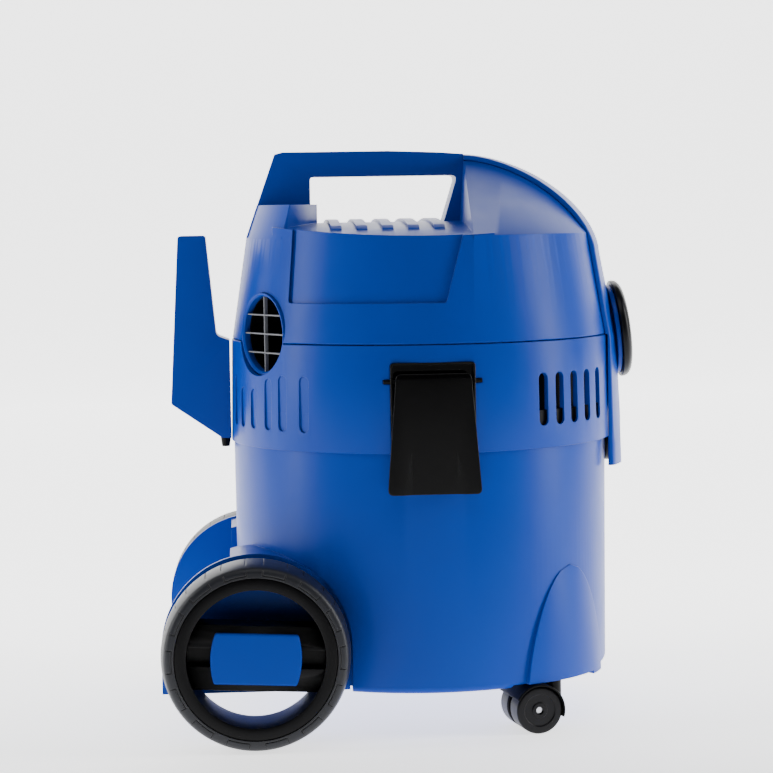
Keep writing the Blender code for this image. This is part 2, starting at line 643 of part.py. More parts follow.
def build_wheel(name, side):
    axle = (AXLE_X, 0, AXLE_Z)
    rim_out = WHEEL_RADIUS - TYRE_DEPTH
    rim_in = rim_out - RIM_WALL
    bar_face = WHEEL_FACE_Y - BAR_FACE_INSET
    bar_back = bar_face - BAR_THICKNESS

    rim = ring("rim", rim_in, rim_out, WHEEL_BACK_Y + 2 * MM, WHEEL_FACE_Y - 0.5 * MM, WHEEL_STEPS)
    reach = rim_in + RIM_WALL / 2
    bars = box("bars", (-rim_out, -BAR_HALF_HEIGHT, bar_back), (rim_out, BAR_HALF_HEIGHT, bar_face))
    within = rod("within_rim", (0, 0, bar_back - WALL), (0, 0, bar_face + WALL), reach, WHEEL_STEPS)
    combine(bars, "INTERSECT", [within])
    hub = rod("hub", (0, 0, WHEEL_BACK_Y - 1.5 * MM), (0, 0, bar_back + WALL), HUB_RADIUS, ROUND_STEPS)
    channel = box("channel", (-rim_in + 0.2 * MM, -CHANNEL_HALF_HEIGHT, bar_face - CHANNEL_DEPTH),
                  (rim_in - 0.2 * MM, CHANNEL_HALF_HEIGHT, bar_face + WALL))
    core = rod("core", (0, 0, bar_back + WALL), (0, 0, bar_face - 1.0 * MM), HUB_RADIUS, ROUND_STEPS)
    bore = rod("bore", (0, 0, WHEEL_BACK_Y - 9 * MM), (0, 0, bar_face + WALL), AXLE_RADIUS + FIT,
               SMALL_STEPS)
    sink = rod("sink", (0, 0, bar_face - 6 * MM), (0, 0, bar_face + WALL), CLIP_RADIUS + 1 * MM,
               SMALL_STEPS)
    join(rim, bars)
    cut(rim, channel)
    join(rim, hub, core)
    cut(rim, bore, sink)
    rim = along_y(baked(rim), side, WHEEL_TURN)
    as_part(rim, "wheel_rim_" + name, BLACK, 0.45, origin=axle)

    half = WHEEL_WIDTH / 2
    centre = WHEEL_FACE_Y - half
    seat = rim_out + FIT
    profile = []
    for height, radius in ((half, WHEEL_RADIUS - TYRE_ROUND), (0.84 * half, WHEEL_RADIUS - 2.0 * MM),
                           (0.3 * half, WHEEL_RADIUS), (-0.3 * half, WHEEL_RADIUS),
                           (-0.84 * half, WHEEL_RADIUS - 2.0 * MM), (-half, WHEEL_RADIUS - TYRE_ROUND)):
        profile.append((radius, centre + height))
    profile += [(seat, centre - half), (seat, centre + half)]
    tyre = along_y(turned("tyre", profile, WHEEL_STEPS, closed=True), side)
    as_part(tyre, "tyre_" + name, (0.05, 0.052, 0.06), 0.55, origin=axle)

    low = bar_face + FIT
    cap = prism("cap", cap_outline(CAP_LENGTH, CAP_HEIGHT, CAP_BARREL), low, WHEEL_FACE_Y - 0.6 * MM)
    cap = along_y(rounded(cap, 1.2 * MM), side, WHEEL_TURN)
    as_part(cap, "wheel_cap_" + name, BLUE, 0.4, origin=axle)

    end = bar_face - 1.8 * MM
    shaft = rod("axle", (0, 0, HOUSING_FACE_Y - AXLE_GRIP), (0, 0, end), AXLE_RADIUS, SMALL_STEPS)
    as_part(along_y(shaft, side), "axle_" + name, STEEL, 0.3, 1.0)
    clip = ring("clip", AXLE_RADIUS + FIT, CLIP_RADIUS, end - 3 * MM, end - 1.2 * MM, SMALL_STEPS)
    as_part(along_y(clip, side), "axle_clip_" + name, STEEL, 0.35, 1.0)


# ---------------------------------------------------------------- casters

def build_caster(name, side):
    stem = caster_stem(side)
    top = FLOOR_UNDER_Z - RUNNING
    axle_z = CASTER_WHEEL_RADIUS
    outer = CASTER_WHEEL_RADIUS + RUNNING + CASTER_HOOD
    swivel = (stem.x, stem.y, FLOOR_UNDER_Z)
    place = Matrix.Translation((stem.x, stem.y, 0)) @ Matrix.Rotation(math.pi - side * CASTER_YAW, 4, "Z")
    place = place @ Matrix.Translation((CASTER_TRAIL, 0, axle_z))
    hub = place @ Vector((0, 0, 0))

    hood = rod("hood", (0, -CASTER_HALF_WIDTH, 0), (0, CASTER_HALF_WIDTH, 0), outer, ROUND_STEPS)
    neck = rod("neck", (-CASTER_TRAIL, 0, 0), (-CASTER_TRAIL, 0, top - axle_z),
               CASTER_STEM_RADIUS + 2.6 * MM)
    pin = rod("pin", (-CASTER_TRAIL, 0, 0),
              (-CASTER_TRAIL, 0, FLOOR_UNDER_Z + CASTER_STEM_LENGTH - axle_z), CASTER_STEM_RADIUS,
              SMALL_STEPS)
    join(hood, neck, pin)
    for way in (-1, 1):
        low, high = sorted((way * CASTER_WEB, way * (CASTER_HALF_WIDTH + WALL)))
        cut(hood, rod("wheel_space", (0, low, 0), (0, high, 0), CASTER_WHEEL_RADIUS + RUNNING, ROUND_STEPS))
    reach = 2 * outer
    floor_cut = box("floor_cut", (-reach, -reach, -reach), (reach, reach, -5.4 * MM))
    back_cut = box("back_cut", (0.35 * outer, -reach, -reach), (reach, reach, 0.45 * outer))
    bore = rod("axle_bore", (0, -reach, 0), (0, reach, 0), CASTER_AXLE_RADIUS + FIT, SMALL_STEPS)
    cut(hood, floor_cut, back_cut, bore)
    as_part(placed(baked(hood), place), "caster_hood_" + name, BLACK, 0.42, origin=swivel)

    half = CASTER_HALF_WIDTH - 1.5 * MM
    axle = rod("axle", (0, -half + 2 * MM, 0), (0, half - 2 * MM, 0), CASTER_AXLE_RADIUS, SMALL_STEPS)
    as_part(placed(axle, place), "caster_axle_" + name, STEEL, 0.35, 1.0, origin=hub)
    for label, way in (("inner", -side), ("outer", side)):
        near, far = CASTER_WEB + RUNNING, half
        crown = 1.8 * MM
        radius = CASTER_WHEEL_RADIUS
        bore_radius = CASTER_AXLE_RADIUS + FIT
        profile = [(radius - crown, far), (radius, far - crown), (radius, near + crown / 2),
                   (radius - crown / 2, near), (bore_radius, near), (bore_radius, far)]
        disc = turned("disc", profile, 20, closed=True)
        placed(disc, Matrix.Rotation(way * math.pi / 2, 4, "X"))
        as_part(placed(disc, place), "caster_wheel_" + label + "_" + name, BLACK, 0.5, origin=hub)


# ---------------------------------------------------------------- head base

def louvre(angle, low, high, inner, outer):
    """Upright slot with round ends, from the inner to the outer radius."""
    half = LOUVRE_WIDTH / 2
    outline = arc((0, high - half), half, 0, 180, 4) + arc((0, low + half), half, 180, 360, 4)
    slot = prism("louvre", outline, inner, outer, "X")
    return placed(slot, Matrix.Rotation(math.radians(angle), 4, "Z"))


def port_axis():
    return at_angle(1.0, PORT_ANGLE, 0)


def port_rod(name, radius, near, far, steps=ROUND_STEPS):
    direction = port_axis()
    lift = Vector((0, 0, PORT_Z))
    return rod(name, direction * near + lift, direction * far + lift, radius, steps)


def inlet_notch(clearance):
    """Arch that is open downwards, so that the head lifts off past the inlet."""
    radius = INLET_FLANGE_RADIUS + clearance
    outline = arc((0, INLET_Z), radius, 0, 180, 14)
    outline += [(-radius, INLET_Z - 3 * radius), (radius, INLET_Z - 3 * radius)]
    return prism("inlet_notch", outline, TUB_RADIUS - 30 * MM, TUB_RADIUS + 60 * MM, "X")


def knob_seat_x():
    """Where the knob's axis meets the fascia's front."""
    return head_front_x(0, KNOB_Z) + fascia_proud(KNOB_Z)


def spindle_bore(radius):
    seat = Vector((knob_seat_x(), 0, KNOB_Z))
    return rod("spindle_bore", seat - KNOB_AXIS * 45 * MM, seat + KNOB_AXIS * 30 * MM, radius, SMALL_STEPS)


def build_head_base():
    profile = [(STEP_RADIUS, STEP_Z - FIT), (SKIRT_RADIUS, SKIRT_Z), (SKIRT_INNER, SKIRT_Z),
               (SKIRT_INNER, PLATE_TOP_Z + FIT), (BASE_INNER, PLATE_TOP_Z + FIT), (BASE_INNER,
                                                                                   STEP_Z - FIT)]
    base = stretched_front(turned("base", profile, closed=True))
    for angle in BOSS_ANGLES:
        foot = at_angle(BASE_INNER - BOSS_INSET + 3 * MM, angle, PLATE_TOP_Z + FIT)
        join(base, rod("boss", foot, foot + Vector((0, 0, 22 * MM)), BOSS_RADIUS, SMALL_STEPS))
    half = LATCH_RECESS_WIDTH / 2
    for name, side in SIDES:
        face = side * (SKIRT_RADIUS - LATCH_RECESS_DEPTH)
        floor_z = PLATE_TOP_Z + 2 * WALL
        wall = side * (math.sqrt(STEP_RADIUS ** 2 - (half + 3 * WALL) ** 2) - POCKET_COVER)
        low_y, high_y = sorted((face - side * WALL, wall))
        pocket = box("latch_pocket", (-half - 3 * WALL, low_y, floor_z),
                     (half + 3 * WALL, high_y, LATCH_RECESS_Z + WALL))
        low_y, high_y = sorted((face, side * (SKIRT_RADIUS + 10 * MM)))
        recess = box("latch_recess", (-half, low_y, SKIRT_Z - WALL), (half, high_y, LATCH_RECESS_Z))
        pivot_y = side * (SKIRT_RADIUS - LATCH_PIVOT_INSET)
        pin = rod("pin_bore", (-half - 2 * WALL, pivot_y, LATCH_PIVOT_Z),
                  (half + 2 * WALL, pivot_y, LATCH_PIVOT_Z),
                  LATCH_PIN_RADIUS + FIT, SMALL_STEPS)
        join(base, pocket)
        cut(base, recess, pin)
    for side in (-1, 1):
        for angle in FRONT_LOUVRE_ANGLES:
            cut(base, louvre(side * angle, LOUVRE_LOW_Z, LOUVRE_HIGH_Z, BASE_INNER - 4 * MM,
                             SKIRT_RADIUS + 4 * MM))
        for angle, top in REAR_LOUVRE_TOPS:
            middle = (LOUVRE_LOW_Z + LOUVRE_HIGH_Z) / 2
            inner = head_radius(middle) - REAR_LOUVRE_DEPTH
            cut(base, louvre(side * angle, LOUVRE_LOW_Z - 2.4 * MM, top * MM, inner, SKIRT_RADIUS + 4 * MM))
    for angle in BOSS_ANGLES:
        foot = at_angle(BASE_INNER - BOSS_INSET + 3 * MM, angle, 0)
        cut(base, rod("screw_hole", (foot.x, foot.y, PLATE_Z), (foot.x, foot.y, PLATE_TOP_Z + 16 * MM),
                      SCREW_RADIUS + FIT, SMALL_STEPS))
    cut(base, port_rod("port_hole", PORT_RADIUS + SLACK, 0.6 * TUB_RADIUS, 1.3 * TUB_RADIUS))
    cut(base, inlet_notch(2 * MM), spindle_bore(SPINDLE_RADIUS + 1.6 * MM))
    as_part(baked(base), "head_base", BLUE, 0.38)


# ---------------------------------------------------------------- head cover

def fascia_proud(height):
    share = (height - (SKIRT_Z - FASCIA_DROP)) / (FASCIA_SHOULDER_Z - SKIRT_Z + FASCIA_DROP)
    return FASCIA_PROUD_FOOT + (FASCIA_PROUD_TOP - FASCIA_PROUD_FOOT) * share


def fascia_edge_drop(height):
    """How far the fascia's edge lies behind its middle."""
    middle = head_front_x(0, height) + fascia_proud(height)
    return middle - head_front_x(FASCIA_HALF_WIDTH, height) - FASCIA_SIDE


def fascia_stations(upper_steps=8):
    """Places down the fascia: middle point, inward direction, half width and edge drop."""
    stations = []
    end_x = head_front_x(0, FASCIA_SHOULDER_Z) + fascia_proud(FASCIA_SHOULDER_Z)
    start_z = HANDLE_TOP_Z - FASCIA_TOP_DROP
    power = 2 / FASCIA_CURVE
    width_end, drop_end = FASCIA_HALF_WIDTH, fascia_edge_drop(FASCIA_SHOULDER_Z)
    for i in range(upper_steps):
        turn = math.pi / 2 * i / upper_steps
        across, up = math.sin(turn) ** power, math.cos(turn) ** power
        middle = Vector((CROWN_X + (end_x - CROWN_X) * across, 0,
                         FASCIA_SHOULDER_Z + (start_z - FASCIA_SHOULDER_Z) * up))
        lean = math.pi / 2 * (i / upper_steps) ** 0.9
        inward = Vector((-math.sin(lean), 0, -math.cos(lean)))
        share = math.sin(turn)
        width = FASCIA_NECK_HALF_WIDTH + (width_end - FASCIA_NECK_HALF_WIDTH) * share
        drop = FASCIA_NECK_DROP + (drop_end - FASCIA_NECK_DROP) * share ** 1.5
        stations.append((middle, inward, width, drop))
    lip_z = SKIRT_Z - FASCIA_DROP
    for height in (FASCIA_SHOULDER_Z, (FASCIA_SHOULDER_Z + STEP_Z) / 2, STEP_Z, (STEP_Z + SKIRT_Z) / 2,
                   SKIRT_Z, lip_z):
        middle = Vector((head_front_x(0, height) + fascia_proud(height), 0, height))
        stations.append((middle, Vector((-1, 0, 0)), width_end, fascia_edge_drop(height)))
    return stations


def build_fascia():
    shares = [-1, -0.66, -0.33, 0, 0.33, 0.66, 1]
    sections = []
    for middle, inward, width, drop in fascia_stations():
        side_depth = drop + FASCIA_SIDE - SLACK
        inner_width = width - THIN_WALL
        section = [middle + inward * drop * s * s + Vector((0, s * width, 0)) for s in shares]
        section.append(middle + inward * side_depth + Vector((0, width, 0)))
        section.append(middle + inward * side_depth + Vector((0, inner_width, 0)))
        for s in reversed(shares):
            depth = drop * s * s * (inner_width / width) ** 2 + THIN_WALL
            section.append(middle + inward * depth + Vector((0, s * inner_width, 0)))
        section.append(middle + inward * side_depth + Vector((0, -inner_width, 0)))
        section.append(middle + inward * side_depth + Vector((0, -width, 0)))
        sections.append(section)
    fascia = loft("fascia", sections)
    seat = Vector((knob_seat_x(), 0, KNOB_Z))
    pad = rod("pad", seat - KNOB_AXIS * (THIN_WALL + 0.5 * MM), seat + KNOB_AXIS * 0.6 * MM,
              KNOB_RADIUS - 3 * MM, ROUND_STEPS)
    join(fascia, pad)
    clear = turned("shell_clear", [(0, DECK_Z), (DECK_RADIUS + SLACK, DECK_Z),
                                   (COVER_RADIUS + SLACK, STEP_Z),
                                   (SKIRT_RADIUS + SLACK, STEP_Z), (SKIRT_RADIUS + SLACK, SKIRT_Z),
                                   (0, SKIRT_Z)])
    cut(fascia, stretched_front(clear), hull("crown_clear", crown_points(-SLACK)), solver=SHELL_SOLVER)
    cut(fascia, inlet_notch(2.4 * MM), spindle_bore(SPINDLE_RADIUS + RUNNING))
    as_part(baked(fascia), "front_fascia", BLUE, 0.38)


def crown_points(inset):
    points = []
    radius = DECK_RADIUS - inset
    low = DECK_Z - 12 * MM
    for i in range(17):
        angle = -CROWN_HALF_ANGLE + 2 * CROWN_HALF_ANGLE * i / 16
        for height, reach in ((low, -LAP), (DECK_Z + LIP - inset * 0.5, LIP)):
            point = at_angle(radius + COVER_TAPER * (DECK_Z - height) + reach, angle, height)
            point.x = point.x * (1 + FRONT_STRETCH) if point.x > 0 else point.x
            point.x = max(point.x, CROWN_X - 4 * MM + inset)
            points.append(point)
    for middle, inward, width, drop in fascia_stations():
        if middle.z < DECK_Z:
            continue
        depth = drop + FASCIA_SIDE + inset
        for side in (-1, 1):
            point = middle + inward * depth + Vector((0, side * (width - inset), 0))
            point.x = max(point.x, CROWN_X + inset)
            points.append(point)
    return points


def rear_block_points(inset):
    points = []
    half_angle = REAR_BLOCK_HALF_ANGLE - math.degrees(CORNER_INSET * inset / DECK_RADIUS)
    for height, reach in ((DECK_Z - 12 * MM, -LAP), (DECK_Z, LIP), (REAR_BLOCK_Z - inset, LIP)):
        radius = DECK_RADIUS - REAR_LEAN * max(0.0, height - DECK_Z) - inset + reach
        radius += COVER_TAPER * max(0.0, DECK_Z - height)
        for i in range(9):
            angle = 180 - half_angle + 2 * half_angle * i / 8
            points.append(at_angle(radius, angle, height))
        for side in (-1, 1):
            points.append(Vector((GRIP_REAR_X + 5 * MM - inset, side * (HANDLE_HALF_WIDTH + 1 * MM),
                                  height)))
    return points


def deck_slab():
    """Deck between the rear block and the crown, higher along its middle."""
    half = DECK_RADIUS + 2 * MM
    outline = []
    for i in range(13):
        across = half - 2 * half * i / 12
        outline.append((across, DECK_Z + DECK_CROWN * (1 - (across / half) ** 2)))
    outline += [(-half, DECK_Z - 6 * MM), (half, DECK_Z - 6 * MM)]
    slab = prism("deck", outline, GRIP_REAR_X - 30 * MM, CROWN_X + 12 * MM, "X")
    top = DECK_Z + DECK_CROWN + 2 * MM
    trim = DECK_RADIUS - LIP
    trim_profile = [(0, top), (trim - COVER_TAPER * (top - DECK_Z), top),
                    (trim + COVER_TAPER * 10 * MM, DECK_Z - 10 * MM), (0, DECK_Z - 10 * MM)]
    return combine(slab, "INTERSECT", [turned("deck_trim", trim_profile)])


def deck_height(across):
    half = DECK_RADIUS + 2 * MM
    return DECK_Z + DECK_CROWN * (1 - (across / half) ** 2)


def deck_rib(index):
    x = RIB_FIRST_X + RIB_PITCH * index
    steps = 10
    top, bottom = [], []
    for i in range(steps + 1):
        across = RIB_HALF_LENGTH * (2 * i / steps - 1)
        lift = 0.25 * RIB_HEIGHT if i in (0, steps) else RIB_HEIGHT
        top.append((across, deck_height(across) + lift))
        bottom.append((across, deck_height(across) - 3 * MM))
    return prism("rib", top + bottom[::-1], x - RIB_WIDTH / 2, x + RIB_WIDTH / 2, "X")


def handle_outline():
    rear = -(DECK_RADIUS - REAR_LEAN * (HANDLE_TOP_Z - DECK_Z))
    foot = DECK_Z - 2 * MM
    seat = HANDLE_TOP_Z - FASCIA_TOP_DROP - FASCIA_NECK_DROP - FASCIA_SIDE - SLACK
    return [(-DECK_RADIUS, DECK_Z), (rear, HANDLE_TOP_Z - 1.5 * MM), (rear + 6 * MM, HANDLE_TOP_Z),
            (GRIP_REAR_X + 60 * MM, HANDLE_TOP_Z), (CROWN_X - 20 * MM, HANDLE_TOP_Z - 1.5 * MM),
            (CROWN_X - FIT, HANDLE_TOP_Z - FASCIA_TOP_DROP), (CROWN_X - FIT, seat), (CROWN_X + 14 * MM,
                                                                                     seat - 10 * MM),
            (CROWN_X + 14 * MM, foot), (-DECK_RADIUS + 12 * MM, foot)]


def grip_opening():
    top = HANDLE_TOP_Z - HANDLE_BAR
    low = DECK_Z - 1 * MM
    outline = [(GRIP_REAR_X, top - 3 * MM), (GRIP_REAR_X + 3 * MM, top), (GRIP_FRONT_X - 4 * MM, top),
               (GRIP_FRONT_X, top - 4 * MM), (GRIP_FRONT_X - GRIP_SLOPE, DECK_Z + 13 * MM),
               (GRIP_FRONT_X - GRIP_SLOPE - 5 * MM, low), (GRIP_REAR_X + 5 * MM, low),
               (GRIP_REAR_X + 5 * MM, REAR_BLOCK_Z), (GRIP_REAR_X, REAR_BLOCK_Z)]
    return prism("grip_opening", outline, -3 * HANDLE_HALF_WIDTH, 3 * HANDLE_HALF_WIDTH, "Y")


def side_panel(side):
    """Shallow recess in the flank: a side view outline kept outside an inner cone."""
    rear_low = -0.731 * head_radius(PANEL_Z)
    rear_high = -0.731 * DECK_RADIUS
    outline = [(rear_low, PANEL_Z), (0.077 * head_radius(PANEL_Z), PANEL_Z),
               (0.09 * DECK_RADIUS, PANEL_Z + 3 * MM),
               (0.225 * DECK_RADIUS, DECK_Z + 20 * MM), (rear_high, DECK_Z + 20 * MM)]
    near, far = sorted((side * 0.4 * TUB_RADIUS, side * 1.2 * TUB_RADIUS))
    panel = prism("panel", outline, near, far, "Y")
    low, high = PANEL_Z - 10 * MM, DECK_Z + 30 * MM
    core = turned("panel_core", [(0, high), (head_radius(high) - PANEL_DEPTH, high),
                                 (head_radius(low) - PANEL_DEPTH, low), (0, low)])
    return cut(panel, core)


def build_head_cover():
    shell = [(0, DECK_Z), (DECK_RADIUS, DECK_Z), (head_radius(STEP_Z + FIT), STEP_Z + FIT),
             (0, STEP_Z + FIT)]
    cover = stretched_front(turned("cover", shell))
    handle = prism("handle", handle_outline(), -HANDLE_HALF_WIDTH, HANDLE_HALF_WIDTH, "Y")
    cut(handle, grip_opening())
    handle = rounded(baked(handle), HANDLE_ROUND, 2, 50.0)
    join(cover, deck_slab(), hull("rear_block", rear_block_points(0.0)), hull("crown", crown_points(0.0)),
         solver=SHELL_SOLVER)
    for side in (-1, 1):
        cut(cover, side_panel(side), solver=SHELL_SOLVER)
    join(cover, handle, solver=SHELL_SOLVER)
    for index in range(RIB_COUNT):
        join(cover, deck_rib(index), solver=SHELL_SOLVER)
    inner_low, inner_high = STEP_Z - 2 * MM, DECK_Z - COVER_WALL
    inside = turned("cover_inside", [(0, inner_high), (head_radius(inner_high) - COVER_WALL, inner_high),
                                     (head_radius(STEP_Z + FIT) - COVER_WALL + 0.4 * MM, inner_low),
                                     (0, inner_low)])
    cut(cover, inside, hull("crown_inside", crown_points(COVER_WALL)),
        hull("rear_block_inside", rear_block_points(COVER_WALL)), solver=SHELL_SOLVER)
    cut(cover, port_rod("port_hole", PORT_RADIUS + SLACK, 0.6 * TUB_RADIUS, 1.3 * TUB_RADIUS),
        spindle_bore(SPINDLE_RADIUS + 1.6 * MM), solver=SHELL_SOLVER)
    as_part(baked(cover), "head_cover", BLUE, 0.38)


# ---------------------------------------------------------------- knob, latches, hook

def on_knob_axis(obj):
    """Stand a shape that was turned about Z on the fascia, along the knob's axis."""
    seat = Vector((knob_seat_x(), 0, KNOB_Z))
    turn = AXIS["Z"].rotation_difference(KNOB_AXIS).to_matrix().to_4x4()
    return placed(obj, Matrix.Translation(seat) @ turn)


def build_knob():
    back = 1.2 * MM
    front = back + KNOB_DEPTH
    spindle = -26 * MM
    profile = [(0, front), (0.55 * KNOB_RADIUS, front - 0.3 * MM), (0.85 * KNOB_RADIUS, front - 1.6 * MM),
               (0.97 * KNOB_RADIUS, front - 4.0 * MM), (KNOB_RADIUS, front - 7.0 * MM), (KNOB_RADIUS, back),
               (SPINDLE_RADIUS, back), (SPINDLE_RADIUS, spindle), (0, spindle)]
    knob = on_knob_axis(turned("knob", profile, WHEEL_STEPS))
    seat = (knob_seat_x(), 0, KNOB_Z)
    as_part(knob, "knob", BLACK, 0.35, origin=seat)

    half = 14 * MM
    low, high = KNOB_Z - 20 * MM, KNOB_Z + 12 * MM
    inner = math.sqrt((head_radius(high) - COVER_WALL) ** 2 - half ** 2) - 1 * MM
    switch = box("switch", (inner - 22 * MM, -half, low), (inner, half, high))
    cut(switch, spindle_bore(SPINDLE_RADIUS + RUNNING))
    as_part(baked(switch), "switch_body", GREY, 0.5)


def latch_pivot(side):
    return Vector((0, side * (SKIRT_RADIUS - LATCH_PIVOT_INSET), LATCH_PIVOT_Z))


def build_latch(name, side):
    face = TUB_RADIUS + 7.0 * MM
    back = face - LATCH_PLATE
    top, foot = LATCH_TOP_WIDTH / 2, LATCH_FOOT_WIDTH / 2
    trim = 4 * MM
    outline = [(-foot, LATCH_FOOT_Z + trim), (-foot + trim, LATCH_FOOT_Z), (foot - trim, LATCH_FOOT_Z),
               (foot, LATCH_FOOT_Z + trim), (top, LATCH_TOP_Z - trim), (top - trim, LATCH_TOP_Z),
               (-top + trim, LATCH_TOP_Z), (-top, LATCH_TOP_Z - trim)]
    near, far = sorted((side * back, side * face))
    lever = rounded(prism("lever", outline, near, far, "Y"), 0.9 * MM)
    pivot = latch_pivot(side)
    for way in (-1, 1):
        x_low, x_high = sorted((way * (top - 5.5 * MM), way * (top - 2 * MM)))
        ear = rod("ear", (x_low, pivot.y, pivot.z), (x_high, pivot.y, pivot.z), LATCH_PIN_RADIUS + 2.4 * MM,
                  SMALL_STEPS)
        y_low, y_high = sorted((pivot.y, side * (back + 1 * MM)))
        arm = box("arm", (x_low, y_low, pivot.z - 4 * MM), (x_high, y_high, pivot.z + 3.8 * MM))
        join(lever, ear, arm)
    keeper = TUB_RADIUS + KEEPER_PROUD + FIT
    y_low, y_high = sorted((side * keeper, side * (back + 1 * MM)))
    nib_high = KEEPER_Z - KEEPER_HEIGHT / 2 - 1.5 * MM
    nib = box("nib", (-18 * MM, y_low, nib_high - 5 * MM), (18 * MM, y_high, nib_high))
    join(lever, nib)
    half = LATCH_RECESS_WIDTH / 2
    cut(lever, rod("pin_bore", (-half, pivot.y, pivot.z), (half, pivot.y, pivot.z),
                   LATCH_PIN_RADIUS + FIT, SMALL_STEPS))
    as_part(baked(lever), "latch_" + name, BLACK, 0.18, origin=pivot)
    reach = half + 2 * WALL - FIT
    pin = rod("pin", (-reach, pivot.y, pivot.z), (reach, pivot.y, pivot.z), LATCH_PIN_RADIUS, SMALL_STEPS)
    as_part(pin, "latch_pin_" + name, STEEL, 0.3, 1.0)


def build_hook():
    inner = -(SKIRT_RADIUS + SLACK)
    outer = -(SKIRT_RADIUS + HOOK_REACH)
    horn_out = -(SKIRT_RADIUS + HOOK_HORN_OUT)
    horn_in = horn_out + HOOK_HORN_THICK
    outline = [(inner, SKIRT_Z + 2 * MM), (inner, STEP_Z - 1 * MM), (inner - 10 * MM, STEP_Z + 3 * MM),
               (horn_in + 1 * MM, HOOK_HORN_Z - 3 * MM), (horn_in - 2 * MM, HOOK_HORN_Z),
               (horn_out + 2 * MM, HOOK_HORN_Z), (horn_out, HOOK_HORN_Z - 3 * MM),
               (outer, HOOK_CORNER_Z), (outer + 3 * MM, HOOK_CORNER_Z - 3 * MM),
               (inner - 7 * MM, SKIRT_Z + 2.5 * MM)]
    hook = rounded(prism("hook", outline, -HOOK_HALF_WIDTH, HOOK_HALF_WIDTH, "Y"), 2.0 * MM)
    as_part(hook, "cable_hook", BLUE, 0.4)
    x = inner - GLAND_RADIUS - SLACK
    high = SKIRT_Z + 2 * MM - FIT
    gland = rod("gland", (x, 0, high - 7 * MM), (x, 0, high), GLAND_RADIUS - 1 * MM, SMALL_STEPS,
                GLAND_RADIUS)
    as_part(gland, "cord_gland", BLACK, 0.5)


# ---------------------------------------------------------------- motor unit

